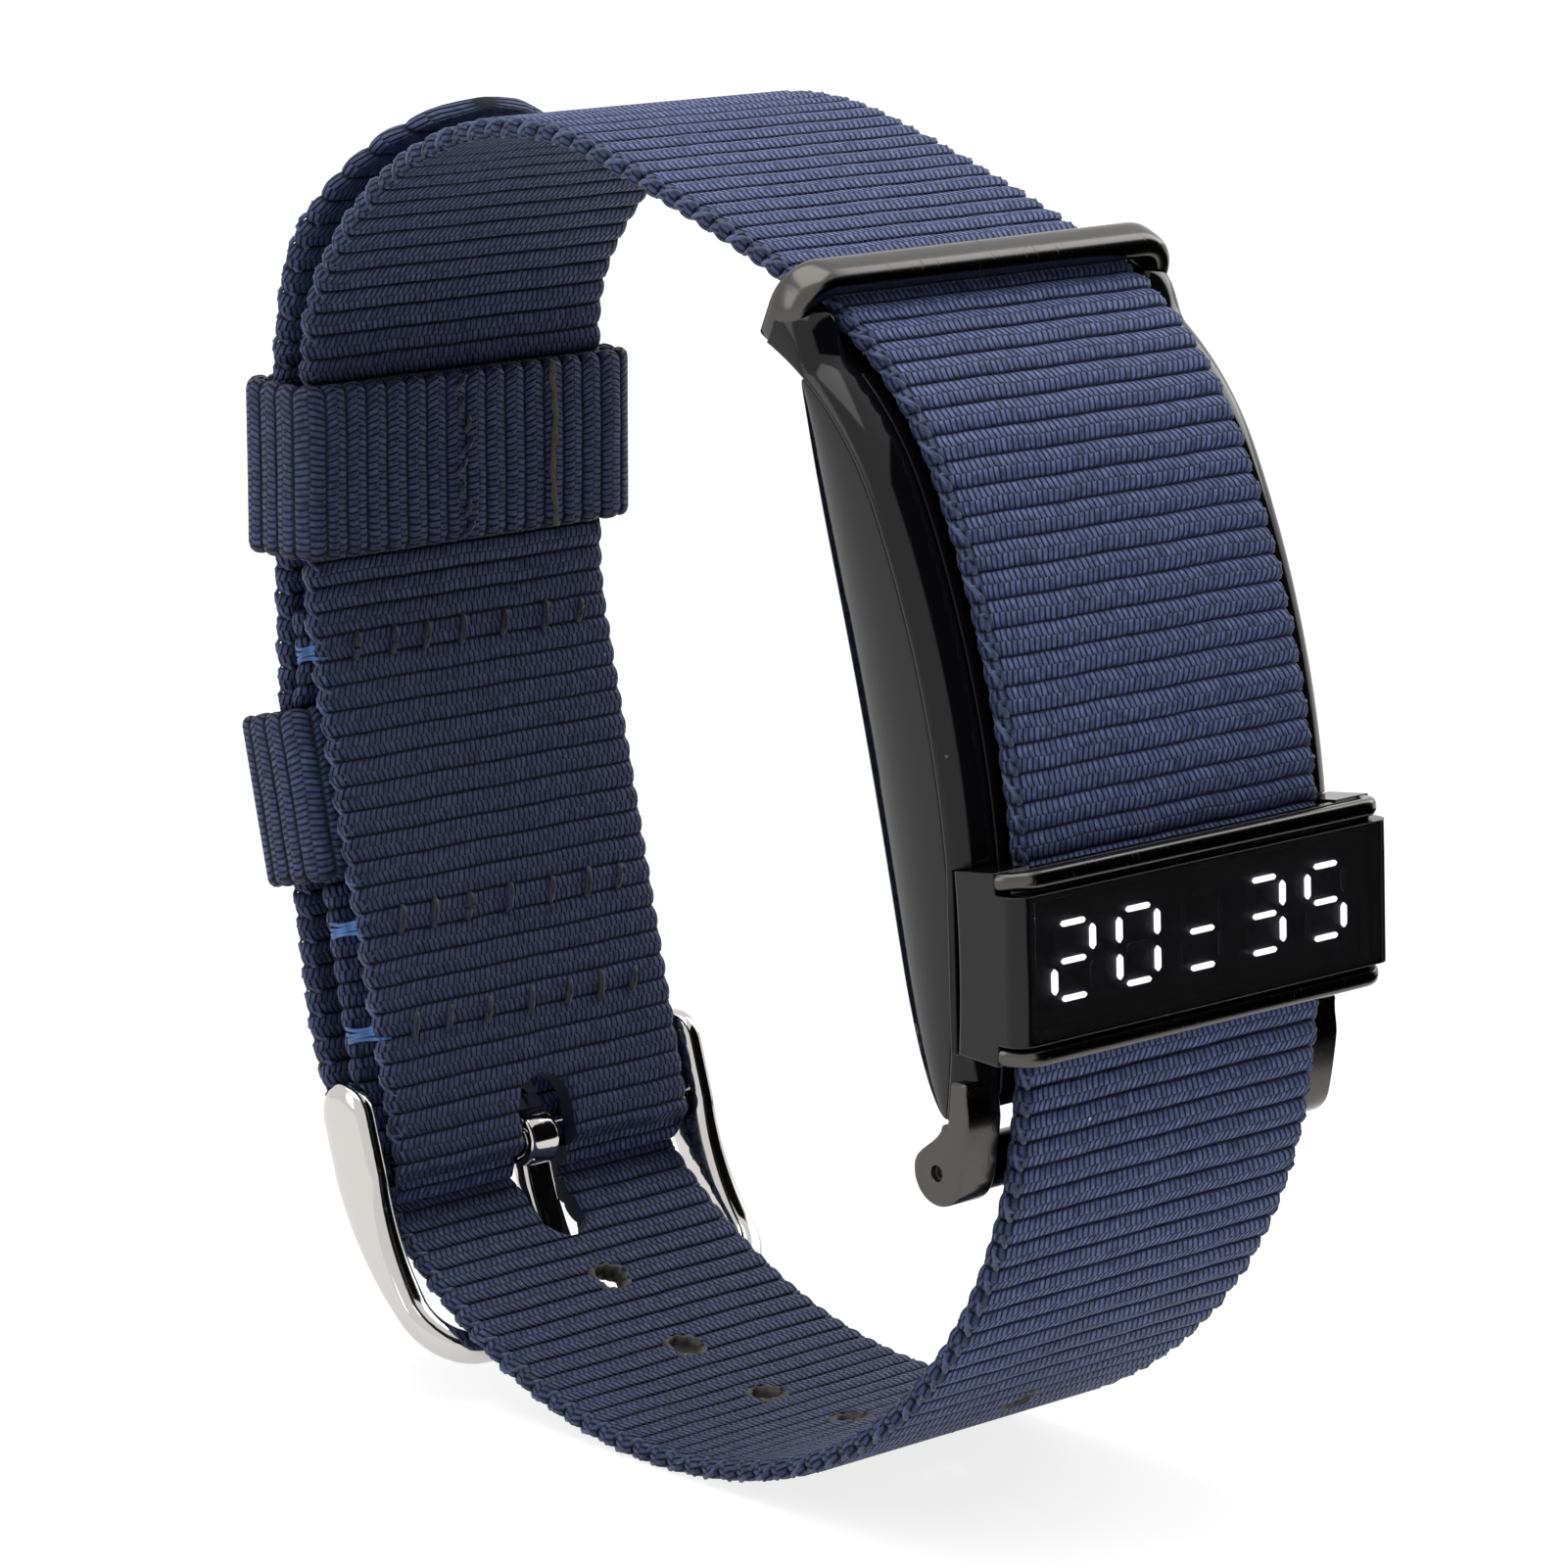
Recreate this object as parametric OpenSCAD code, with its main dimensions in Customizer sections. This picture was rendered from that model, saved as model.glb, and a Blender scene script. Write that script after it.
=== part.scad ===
// Fitness tracker band: a sensor module carried on a woven strap with a tang buckle.
// X runs along the wrist axis, the display faces -Y, the buckle is at +Y and +Z is up.

/* [Strap] */
// Width of the webbing
strap_w = 20; // [16:0.5:24]
// Thickness of the webbing
strap_t = 1.1; // [0.9:0.05:1.2]
// Gap between webbing layers that lie on each other
layer_gap = 0.1; // [0.05:0.05:0.2]
// Straight run of the inner layer above the buckle
back_run = 27; // [24:0.5:32]
// Length of the strap over the crown of the ring
crown_run = 24.5; // [22:0.5:28]
// Length of the strap from the module down to the floor of the ring
chin_run = 27; // [24:0.5:30]
// Length of the tail past the free keeper
tail_run = 14.5; // [12:0.5:20]
// Diameter of the adjustment holes
hole_d = 2; // [1.6:0.1:2.4]
// Distance between adjustment holes
hole_pitch = 6.5; // [6:0.1:8]
// Number of adjustment holes between the buckle and the module
hole_count = 6; // [3:1:7]
// Length of the folded end, from the buckle pin
fold_run = 29.5; // [26:0.5:31]
// Diameter of the stitching thread
thread_d = 0.3; // [0.25:0.05:0.35]
// Number of stitches in a row
stitch_count = 6; // [4:1:8]

/* [Keepers] */
// Width of a keeper along the strap
keeper_w = 9.2; // [7:0.2:10]
// Thickness of a keeper's webbing
keeper_t = 1; // [0.7:0.05:1.2]
// Clearance between the strap and the free keeper
keeper_gap = 0.3; // [0.2:0.05:0.5]

/* [Buckle] */
// Thickness of a side arm of the buckle
arm_t = 1.6; // [1.2:0.1:2]
// Depth of a side arm
arm_depth = 3.6; // [3:0.1:4.2]
// Diameter of the far bar of the buckle
far_bar_d = 1.6; // [1.4:0.1:2]
// Diameter of the buckle pin
pin_d = 1.5; // [1.2:0.1:1.8]
// Width of the tongue
tongue_w = 2; // [1.6:0.1:2.2]
// Thickness of the tongue
tongue_t = 1.2; // [1:0.1:1.4]
// Distance along the strap from the far bar to the tongue hole
bar_to_hole = 7.2; // [7:0.1:8]

/* [Module] */
// Width of the frame on each side of the strap
rail_w = 2.25; // [2:0.05:2.75]
// Length of the case along the strap
case_run = 38; // [35:0.5:40]
// Depth of the case from the strap to the wrist side
case_depth = 9.6; // [9.4:0.1:11]
// Wall of the case
case_wall = 1.1; // [0.9:0.05:1.3]
// Thickness of the bar that holds the strap at the top
top_bar_t = 1.3; // [1.1:0.1:1.6]
// Length of the top bar along the strap
top_bar_run = 2.2; // [1.9:0.1:2.8]
// Diameter of the lower bar behind the strap
low_bar_d = 2.6; // [2:0.1:3]
// Clearance between the strap and the module
strap_gap = 0.25; // [0.15:0.05:0.4]
// Diameter of the sensor window
window_d = 11; // [9:0.5:12]

/* [Display] */
// Length of the display housing along the strap
display_run = 8.8; // [8:0.1:10]
// Height of the display housing over the strap
display_h = 1.8; // [1.7:0.05:2.2]
// Border of the housing beside the display glass
glass_side = 0.8; // [0.6:0.05:1.1]
// Height of the display glass
glass_run = 6.8; // [6.4:0.1:7.4]
// Thickness of the display glass
glass_t = 0.6; // [0.4:0.05:0.8]
// Height of a digit
digit_h = 3.5; // [3:0.1:4]

/* [Internals] */
// Length of the battery along the strap
battery_run = 15; // [12:0.5:16]
// Room beside the battery for the ribbon
battery_side = 2.2; // [2:0.1:3]
// Thickness of the battery
battery_t = 2.4; // [2:0.1:2.6]
// Thickness of the circuit boards
board_t = 0.8; // [0.6:0.05:1]
// Diameter of the vibration motor
motor_d = 7; // [6:0.5:7]
// Thickness of the vibration motor
motor_t = 2.4; // [2.2:0.1:2.6]
// Thread diameter of the case screws
screw_d = 1.2; // [1:0.1:1.4]
// Diameter of a charging contact
contact_d = 1.6; // [1.2:0.1:2]

/* [Hidden] */

EPS = 0.01;
// Reaches well past the features that it cuts
WIDE = 10;
STEP = 1.6;
run_fit = 0.05;

// The strap's route is a chain of stretches, each a length, the angle it turns through and a name.
// It starts at the buckle pin, climbs the back, crosses the crown, runs down over the module,
// along the floor of the ring, up through the buckle and on to the tip of the tail.
start = [18.823, 11.341];
start_turn = 77;
tip_lead = 2.5;
lean_run = 4;
keeper_run = 11.5;
shoulder_run = 5;
brow_run = 17;
saddle_run = 12;
rise_run = 12;
heel_run = 10;
buckle_run = 12.4;
fixed_run = 9;
tail_keeper_run = 10;
tip_run = tail_run + tip_lead;
stretches = [[back_run, 0, "back"], [lean_run, 14, "lean"], [keeper_run, 0, "keeper"],
    [shoulder_run, 33, "shoulder"], [crown_run, 72, "crown"], [brow_run, 7, "brow"],
    [saddle_run, 41, "saddle"], [0, 34, "face"], [chin_run, 63, "chin"], [0, 44, "floor"],
    [rise_run, 21, "rise"], [heel_run, 35, "heel"], [buckle_run, 5, "buckle"],
    [fixed_run, 5, "fixed keeper"], [tail_keeper_run, 0, "tail keeper"], [tip_run, 37, "tip"]];
function stretch(name) = [for (i = [0:len(stretches) - 1]) if (stretches[i][2] == name) i][0];
K_STRAIGHT = stretch("keeper");
K_FACE = stretch("face");
K_FLOOR = stretch("floor");
K_RISE = stretch("rise");
K_TAIL = stretch("tail keeper");

function turn_before(i) = i == 0 ? start_turn : turn_before(i - 1) + stretches[i - 1][1];
function chord(a) = a == 0 ? 1 : sin(a / 2) / (a / 2 * PI / 180);
function unit_move(i) = chord(stretches[i][1])
    * [cos(turn_before(i) + stretches[i][1] / 2), sin(turn_before(i) + stretches[i][1] / 2)];
function moves(i, last) = i > last ? [0, 0] : stretches[i][0] * unit_move(i) + moves(i + 1, last);

// The stretches over the module and along the floor take the lengths that bring the tail
// back to lie on the inner layer where the free keeper holds both.
tail_lead = -1.2;
straight_turn = turn_before(K_STRAIGHT);
tail_off = 2 * (strap_t + layer_gap);
tail_aim = tail_off * [sin(straight_turn), -cos(straight_turn)]
    + tail_lead * [cos(straight_turn), sin(straight_turn)] - moves(K_STRAIGHT, K_TAIL - 1);
face_move = unit_move(K_FACE);
floor_move = unit_move(K_FLOOR);
cross_moves = face_move[0] * floor_move[1] - face_move[1] * floor_move[0];
face_run = (tail_aim[0] * floor_move[1] - tail_aim[1] * floor_move[0]) / cross_moves;
floor_run = (face_move[0] * tail_aim[1] - face_move[1] * tail_aim[0]) / cross_moves;
route = [for (i = [0:len(stretches) - 1])
    [i == K_FACE ? face_run : i == K_FLOOR ? floor_run : stretches[i][0], stretches[i][1]]];

// A place is [y, z, heading]. A walk gives the place at a distance along a chain.
function ahead(p, run, turn) = let (m = p[2] + turn / 2)
    [p[0] + run * chord(turn) * cos(m), p[1] + run * chord(turn) * sin(m), p[2] + turn];
function walk(chain, p, s, i = 0) = i == len(chain) - 1 || s <= chain[i][0]
    ? ahead(p, s, chain[i][1] * s / chain[i][0])
    : walk(chain, ahead(p, chain[i][0], chain[i][1]), s - chain[i][0], i + 1);
function at(s) = walk(route, [start[0], start[1], start_turn], s);
function run_to(i) = i == 0 ? 0 : run_to(i - 1) + route[i - 1][0];
function beside(p, out) = [p[0] + out * sin(p[2]), p[1] - out * cos(p[2])];
function off(s, out) = beside(at(s), out);
function stations(a, b) = let (n = max(2, ceil((b - a) / STEP))) [for (i = [0:n]) a + (b - a) * i / n];
function reversed(v) = [for (i = [len(v) - 1:-1:0]) v[i]];

strap_len = run_to(len(route));
face_lead = 10.7;
module_at = run_to(K_FACE) + face_lead;
case_a = module_at - case_run / 2;
case_b = module_at + case_run / 2;
display_end = 3.4;
display_at = case_b - display_end - display_run / 2;
top_bar_lead = 3.1;
top_bar_at = case_a - top_bar_lead;
low_bar_lead = 3;
low_bar_at = case_b + low_bar_lead;
module_w = strap_w + 2 * (strap_gap + rail_w);
free_keeper_lead = 6;
free_keeper_at = run_to(K_STRAIGHT) + free_keeper_lead;
fixed_keeper_drop = 6.9;
fixed_keeper_at = back_run - fixed_keeper_drop;
tail_at_keeper = run_to(K_TAIL) + free_keeper_at - run_to(K_STRAIGHT) - tail_lead;
thread_gap = 0.03;
stitch_pitch = strap_w * 0.8 / (stitch_count - 1);
first_row = 7.3;
row_gap = 2.6;
last_row_gap = 0.4;
stitch_rows = [first_row, fixed_keeper_at - keeper_w / 2 - row_gap, back_run + last_row_gap];

// Flat shape in the plane of the ring, laid out in [y, z], as a plate across the wrist axis
module plate(w, x = 0) {
    translate([x, 0, 0]) rotate([90, 0, 90]) linear_extrude(w, center = true) children();
}

// Two plates, one on each side
module plates(w, x) {
    for (side = [-1, 1]) plate(w, side * x) children();
}

// Strip that follows the strap's route between two offsets from its centreline
module strip(a, b, inside, outside) {
    s = stations(a, b);
    polygon(concat([for (v = s) off(v, outside)], reversed([for (v = s) off(v, inside)])));
}

// Children placed on the route: Y runs along it and Z points to the wrist
module on_route(s) {
    p = at(s);
    translate([0, p[0], p[1]]) rotate([p[2], 0, 0]) children();
}

module bar(d, w, p, x = 0) {
    translate([x, p[0], p[1]]) rotate([0, 90, 0]) cylinder(d = d, h = w, center = true, $fn = 48);
}

// ---- Strap ----

pin_offset = pin_d / 2 + run_fit + strap_t / 2;
pin_at = off(0, pin_offset);
fold_offset = 2 * pin_offset;
fold_flat = strap_t + layer_gap;
fold_keep = keeper_t + 2 * layer_gap + strap_t;
fold_a = fixed_keeper_at - keeper_w / 2;
fold_b = fixed_keeper_at + keeper_w / 2 + 2 * layer_gap;
fold_ease = 2;
slot_w = tongue_w + 1.6;
slot_run = 4;
tongue_hole_lead = 8.5;
tongue_hole_at = run_to(K_RISE) + tongue_hole_lead;
tongue_hole_run = 6.2;
far_bar_at = tongue_hole_at - bar_to_hole;
tip_r = strap_w / 2;

// Offset of the folded layer from the inner layer at s
function fold_off(s) = lookup(s, [[0, fold_offset], [fold_a, fold_keep], [fold_b, fold_keep],
    [fold_b + fold_ease, fold_flat]]);

module fold_layer() {
    s = concat(stations(0, fold_a), stations(fold_a + STEP, fold_b), stations(fold_b + STEP / 2, fold_run));
    polygon(concat([for (v = s) off(v, fold_off(v) + strap_t / 2)],
        reversed([for (v = s) off(v, fold_off(v) - strap_t / 2)])));
}

module fold_turn() {
    difference() {
        translate(pin_at) circle(d = pin_d + 2 * run_fit + 2 * strap_t, $fn = 64);
        translate(pin_at) circle(d = pin_d + 2 * run_fit, $fn = 64);
        translate(pin_at) rotate(start_turn) translate([EPS, -WIDE / 2]) square(WIDE);
    }
}

module strap_hole(s, run = 0) {
    on_route(s) for (e = [-1, 1]) translate([0, e * run / 2, 0])
        cylinder(d = hole_d, h = 3 * strap_t, center = true, $fn = 32);
    if (run > 0) on_route(s) cube([tongue_w + 0.8, run, 4 * strap_t], center = true);
}

module strap() {
    color([0.13, 0.17, 0.36])
    difference() {
        union() {
            plate(strap_w) strip(0, strap_len - tip_r, -strap_t / 2, strap_t / 2);
            intersection() {
                plate(strap_w) strip(strap_len - tip_r, strap_len, -strap_t / 2, strap_t / 2);
                on_route(strap_len - tip_r) tip_round();
            }
            plate(strap_w) fold_layer();
            plate(strap_w) fold_turn();
        }
        for (i = [1:hole_count]) strap_hole(tongue_hole_at - i * hole_pitch);
        strap_hole(tongue_hole_at, tongue_hole_run - hole_d);
        translate([0, pin_at[0], pin_at[1]]) rotate([start_turn, 0, 0])
            translate([-slot_w / 2, -pin_d - strap_t, -pin_d / 2 - strap_t - 1])
            cube([slot_w, pin_d + strap_t + slot_run, pin_d + 2 * strap_t + 2]);
    }
}

// Round end of the tail, seen square on
module tip_round() {
    cylinder(r = tip_r, h = 4 * tip_r, center = true, $fn = 96);
}

module stitching() {
    color([0.08, 0.1, 0.22])
    for (s = stitch_rows, i = [0:stitch_count - 1])
        on_route(s) translate([(i - (stitch_count - 1) / 2) * stitch_pitch, 0, 0]) {
            reach = fold_off(s) + strap_t / 2;
            translate([0, 0, strap_t / 2 + thread_d / 2 + thread_gap])
                cube([stitch_pitch * 0.7, thread_d, thread_d], center = true);
            translate([0, 0, -reach - thread_d / 2 - thread_gap])
                cube([stitch_pitch * 0.7, thread_d, thread_d], center = true);
        }
}

// ---- Keepers ----

module rounded(w, low, high, r) {
    translate([-w / 2 + r, low]) square([w - 2 * r, high - low]);
    translate([-w / 2, low + r]) square([w, high - low - 2 * r]);
    for (x = [-1, 1], y = [low + r, high - r]) translate([x * (w / 2 - r), y]) circle(r, $fn = 32);
}

// Webbing loop round the strap: low and high bound its inner space, across the layers
module loop(s, low, high) {
    inner_w = strap_w + 2 * keeper_gap;
    on_route(s) rotate([90, 0, 0]) linear_extrude(keeper_w, center = true) difference() {
        rounded(inner_w + 2 * keeper_t, low - keeper_t, high + keeper_t, keeper_t);
        rounded(inner_w, low, high, keeper_t / 3);
    }
}

// Offset from the inner layer to the tail where the fixed keeper holds both
function out_of(s, p) = (p[0] - at(s)[0]) * sin(at(s)[2]) - (p[1] - at(s)[1]) * cos(at(s)[2]);
tail_shift = tail_at_keeper - free_keeper_at;
tail_fixed = out_of(fixed_keeper_at, at(fixed_keeper_at + tail_shift));
tail_slant = (out_of(fixed_keeper_at, at(fixed_keeper_at + tail_shift - keeper_w / 2)) - tail_fixed);

module fixed_keeper() {
    color([0.11, 0.14, 0.3])
    loop(fixed_keeper_at, -tail_fixed - tail_slant - strap_t / 2 - layer_gap,
        -strap_t / 2 - layer_gap - keeper_t);
}

module free_keeper() {
    color([0.11, 0.14, 0.3])
    loop(free_keeper_at, -tail_off - strap_t / 2 - keeper_gap, strap_t / 2 + keeper_gap);
}

// ---- Buckle ----

side_gap = 0.5;
arm_x = strap_w / 2 + side_gap + arm_t / 2;
bar_clear = 2 * layer_gap;
far_bar = off(far_bar_at, strap_t / 2 + bar_clear + far_bar_d / 2);
frame_bend = 3;
frame_dip = 15;
buckle_w = strap_w + 2 * (side_gap + arm_t);
arm_past = 3.2;
tongue_turn = -50;
tongue_notch = 0.5;
arm_a = at(far_bar_at)[2] - 360 + frame_dip;
arm_start = [far_bar[0] + frame_bend * cos(arm_a), far_bar[1] + frame_bend * sin(arm_a), arm_a];
arm_line = pin_at - [arm_start[0], arm_start[1]];
arm_turn = 2 * (atan2(arm_line[1], arm_line[0]) - arm_a);
arm_run = norm(arm_line) / chord(arm_turn);
arm_chain = [[arm_run, arm_turn], [arm_past, 0]];
tongue_rest = off(far_bar_at, strap_t / 2 + bar_clear + far_bar_d - tongue_notch + tongue_t / 2 + run_fit);
tongue_line = tongue_rest - pin_at;
tongue_run = norm(tongue_line) / chord(tongue_turn);
tongue_start = [pin_at[0], pin_at[1], atan2(tongue_line[1], tongue_line[0]) - tongue_turn / 2];

function arm_half(s) = far_bar_d / 2 + (arm_depth - far_bar_d) / 2 * min(1, s / arm_run);

module arm_shape() {
    s = stations(0, arm_run + arm_past);
    difference() {
        union() {
            polygon(concat([for (v = s) beside(walk(arm_chain, arm_start, v), arm_half(v))],
                reversed([for (v = s) beside(walk(arm_chain, arm_start, v), -arm_half(v))])));
            translate(beside(walk(arm_chain, arm_start, arm_run + arm_past), 0))
                circle(d = arm_depth, $fn = 48);
        }
        translate(pin_at) circle(d = pin_d + 0.04, $fn = 48);
    }
}

module buckle_frame() {
    color([0.78, 0.77, 0.75])
    difference() {
        union() {
            plates(arm_t, arm_x) arm_shape();
            bar(far_bar_d, 2 * (arm_x - frame_bend), far_bar);
            bar(0.8 * far_bar_d, 2 * (arm_x - frame_bend) + 0.4, far_bar);
            for (side = [-1, 1]) translate([side * arm_x, arm_start[0], arm_start[1]])
                rotate([arm_a - 90, 0, 0]) cylinder(d = 0.8 * far_bar_d, h = 0.4, center = true, $fn = 48);
            translate([0, far_bar[0], far_bar[1]]) rotate([arm_a, 0, 0]) for (side = [0, 1])
                mirror([side, 0, 0]) translate([arm_x - frame_bend, frame_bend, 0]) rotate(-90)
                rotate_extrude(angle = 90, $fn = 64) translate([frame_bend, 0]) circle(d = far_bar_d, $fn = 48);
        }
        plate(tongue_w + 0.3) tongue_shape(run_fit);
    }
}

module buckle_pin() {
    color([0.7, 0.7, 0.69]) bar(pin_d, buckle_w - 0.2, pin_at);
}

// Side view of the tongue, grown by a clearance
module tongue_shape(grow = 0) {
    s = stations(0.9, tongue_run);
    h = tongue_t / 2 + grow;
    polygon(concat([for (v = s) beside(ahead(tongue_start, v, tongue_turn * v / tongue_run), h)],
        reversed([for (v = s) beside(ahead(tongue_start, v, tongue_turn * v / tongue_run), -h)])));
    translate(tongue_rest) circle(h, $fn = 32);
}

module buckle_tongue() {
    color([0.8, 0.79, 0.77]) plate(tongue_w) difference() {
        union() {
            tongue_shape();
            translate(pin_at) circle(d = pin_d + 2 * run_fit + 1.5, $fn = 48);
        }
        translate(pin_at) circle(d = pin_d + 2 * run_fit, $fn = 48);
    }
}

// ---- Module: case ----

module_place = at(module_at);
cover_out = -strap_t / 2 - strap_gap;
cover_t = 1.1;
rim_out = cover_out - cover_t;
seat = 0.06;
rail_x = module_w / 2 - rail_w / 2;
floor_w = case_depth;
ROWS = 22;
SIDE_STEPS = 20;

// Children in the module's own axes: Y along its middle, Z to the wrist, origin on the strap
module in_module() {
    translate([0, module_place[0], module_place[1]]) rotate([module_place[2], 0, 0]) children();
}

// A point [y, z] of the ring's plane in the module's axes, as [along, deep]
function to_module(p) = let (d = [p[0] - module_place[0], p[1] - module_place[1]], h = module_place[2])
    [d[0] * cos(h) + d[1] * sin(h), -d[0] * sin(h) + d[1] * cos(h)];

function swell(f, power) = pow(max(0, 1 - pow(abs(f), power)), 1 / 2.4);

// Pillow-shaped body: its front follows the strap and its back is a shallow dome
module pillow(a, b, w, out, deep) {
    rows = [for (i = [0:ROWS]) -cos(180 * i / ROWS)];
    cols = [for (j = [0:SIDE_STEPS]) -cos(180 * j / SIDE_STEPS)];
    front = [for (r = rows) to_module(off((a + b) / 2 + r * (b - a) / 2, out))];
    n = SIDE_STEPS + 1;
    back_points = [for (i = [0:ROWS], j = [0:SIDE_STEPS])
        [cols[j] * w / 2, front[i][0], front[i][1] + EPS
            + max(0, deep - front[i][1]) * swell(rows[i], 6) * swell(cols[j], 6)]];
    front_points = [for (i = [0:ROWS], x = [-w / 2, w / 2]) [x, front[i][0], front[i][1]]];
    f0 = len(back_points);
    faces = concat(
        [for (i = [0:ROWS - 1], j = [0:SIDE_STEPS - 1])
            [i * n + j, (i + 1) * n + j, (i + 1) * n + j + 1, i * n + j + 1]],
        [for (i = [0:ROWS - 1]) [f0 + 2 * i, f0 + 2 * i + 1, f0 + 2 * i + 3, f0 + 2 * i + 2]],
        [for (i = [0:ROWS - 1]) [f0 + 2 * i, f0 + 2 * i + 2, (i + 1) * n, i * n]],
        [for (i = [0:ROWS - 1]) [f0 + 2 * i + 3, f0 + 2 * i + 1, i * n + n - 1, (i + 1) * n + n - 1]],
        [concat([f0 + 1, f0], [for (j = [0:SIDE_STEPS]) j])],
        [concat([f0 + 2 * ROWS, f0 + 2 * ROWS + 1], [for (j = [SIDE_STEPS:-1:0]) ROWS * n + j])]);
    in_module() polyhedron(concat(back_points, front_points), faces, convexity = 6);
}

cavity_w = strap_w - 1.6;
cover_a = case_a + 1.2;
cover_b = case_b - 1.2;
cavity_a = cover_a + 1.4;
cavity_b = cover_b - 1.4;
cover_w = strap_w + 2 * strap_gap - 2 * run_fit;
inner_floor = floor_w - case_wall;
boss_x = cavity_w / 2 - 1.4;
boss_r = 1.5;
boss_run = 4.6;
boss_places = [case_a + boss_run, case_b - boss_run];
head_d = 2 * screw_d;
head_t = 0.5;
screw_run = 3.2;
gasket_w = 0.5;
gasket_t = 0.5;
gasket_x = (cavity_w + cover_w) / 4;
gasket_a = (cavity_a + cover_a) / 2;
gasket_b = (cavity_b + cover_b) / 2;
window_t = 0.9;
window_w = floor_w - 0.6;
ledge = 0.9;
contact_x = 2.5;

// Tubes on the screws' axes, for bosses, holes, shanks and heads
module at_screws() {
    for (s = boss_places, side = [-1, 1]) on_route(s) translate([side * boss_x, 0, 0]) children();
}

// Flat ring between the cover and the rim of the case
module gasket_solid(grow = 0) {
    w = 2 * gasket_x;
    half = gasket_w / 2 + grow;
    difference() {
        plate(w + 2 * half) strip(gasket_a - half, gasket_b + half, rim_out - gasket_t - grow, rim_out + grow);
        plate(w - 2 * half) strip(gasket_a + half, gasket_b - half, rim_out - 2, rim_out + 2);
    }
}

module contacts(d, top) {
    in_module() for (side = [-1, 1]) translate([side * contact_x, contact_run, board_w + board_t])
        cylinder(d = d, h = top - board_w - board_t, $fn = 32);
}

module rear_case() {
    color([0.05, 0.05, 0.06])
    difference() {
        union() {
            difference() {
                pillow(case_a, case_b, module_w, rim_out, floor_w);
                pillow(cavity_a, cavity_b, cavity_w, rim_out + 0.5, inner_floor);
            }
            intersection() {
                pillow(case_a + EPS, case_b - EPS, module_w - EPS, rim_out - EPS, floor_w - EPS);
                at_screws() translate([0, 0, -rim_out]) cylinder(r = boss_r, h = boss_depth, $fn = 32);
            }
        }
        at_screws() cylinder(d = screw_d + 0.02, h = 2 * screw_run + 2, center = true, $fn = 32);
        gasket_solid(run_fit);
        in_module() translate([0, 0, window_w]) cylinder(d = window_d + 2 * run_fit, h = WIDE, $fn = 64);
        in_module() translate([0, 0, inner_floor - 1])
            cylinder(d = window_d - 2 * ledge, h = WIDE, $fn = 64);
        contacts(contact_d + 2 * run_fit, floor_w + 1);
        flex(run_fit);
    }
}

module case_cover() {
    color([0.07, 0.07, 0.08])
    difference() {
        plate(cover_w) strip(cover_a, cover_b, rim_out + seat, cover_out);
        at_screws() {
            cylinder(d = screw_d + 0.1, h = 2 * screw_run, center = true, $fn = 32);
            translate([0, 0, -cover_out - 1]) cylinder(d = head_d + 0.2, h = head_t + 1.1, $fn = 32);
        }
    }
}

module case_gasket() {
    color([0.25, 0.25, 0.27]) gasket_solid();
}

module case_screws() {
    color([0.6, 0.6, 0.62]) at_screws() translate([0, 0, -cover_out + 0.1]) {
        cylinder(d = head_d, h = head_t, $fn = 32);
        cylinder(d = screw_d, h = screw_run - 0.4, $fn = 32);
    }
}

// ---- Module: frame round the strap ----

rail_out = cover_out;
rail_round = [1.9, 1.1];
bar_in = strap_t / 2 + strap_gap;
bar_out = bar_in + top_bar_t;
end_round = [1.6, bar_out - rail_out];
bar_a = top_bar_at - top_bar_run / 2;
bar_b = top_bar_at + top_bar_run / 2;
low_bar = off(low_bar_at, -strap_t / 2 - strap_gap - low_bar_d / 2);
lug_r = low_bar_d / 2 + 0.3;
lug_off = strap_t / 2 + strap_gap + low_bar_d / 2;
display_a = display_at - display_run / 2;
display_b = display_at + display_run / 2;
notch_out = rim_out + 0.6;

// Rounds the outer corners of the frame off at s: size is [across the wrist, outwards]
module round_off(s, out, size, run) {
    on_route(s) for (side = [0, 1]) mirror([side, 0, 0])
        translate([module_w / 2 - size[0], 0, size[1] - out]) rotate([90, 0, 0])
        linear_extrude(run, center = true) difference() {
            translate([0, -size[1] - 1]) square([size[0] + 1, size[1] + 1]);
            polygon(concat([[-1, 0], [-1, -size[1]]],
                [for (a = [0:15:90]) [size[0] * sin(a), -size[1] * cos(a)]]));
        }
}

module frame_side() {
    difference() {
        union() {
            strip(bar_b - 1.4, case_b, rim_out + seat, rail_out);
            strip(bar_a, bar_b, rim_out + 0.4, bar_out - top_bar_t / 2);
            translate(off(bar_a + top_bar_t / 2, bar_out - top_bar_t / 2)) circle(d = top_bar_t, $fn = 48);
            strip(bar_a + top_bar_t / 2, bar_b - top_bar_t / 2, bar_in, bar_out);
            translate(off(bar_b - top_bar_t / 2, bar_out - top_bar_t / 2)) circle(d = top_bar_t, $fn = 48);
            strip(case_b - 2, low_bar_at, -lug_off - lug_r, -lug_off + lug_r);
            translate(low_bar) circle(r = lug_r, $fn = 48);
        }
        strip(display_a - run_fit, display_b + run_fit, notch_out, rail_out + 1);
        strip(case_a - 1, case_b + 0.3, rim_out - 10, rim_out + seat);
    }
}

module top_bar() {
    plate(module_w - 2 * rail_w + EPS) {
        strip(bar_a + top_bar_t / 2, bar_b - top_bar_t / 2, bar_in, bar_out);
        for (s = [bar_a + top_bar_t / 2, bar_b - top_bar_t / 2])
            translate(off(s, bar_in + top_bar_t / 2)) circle(d = top_bar_t, $fn = 48);
    }
}

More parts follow.
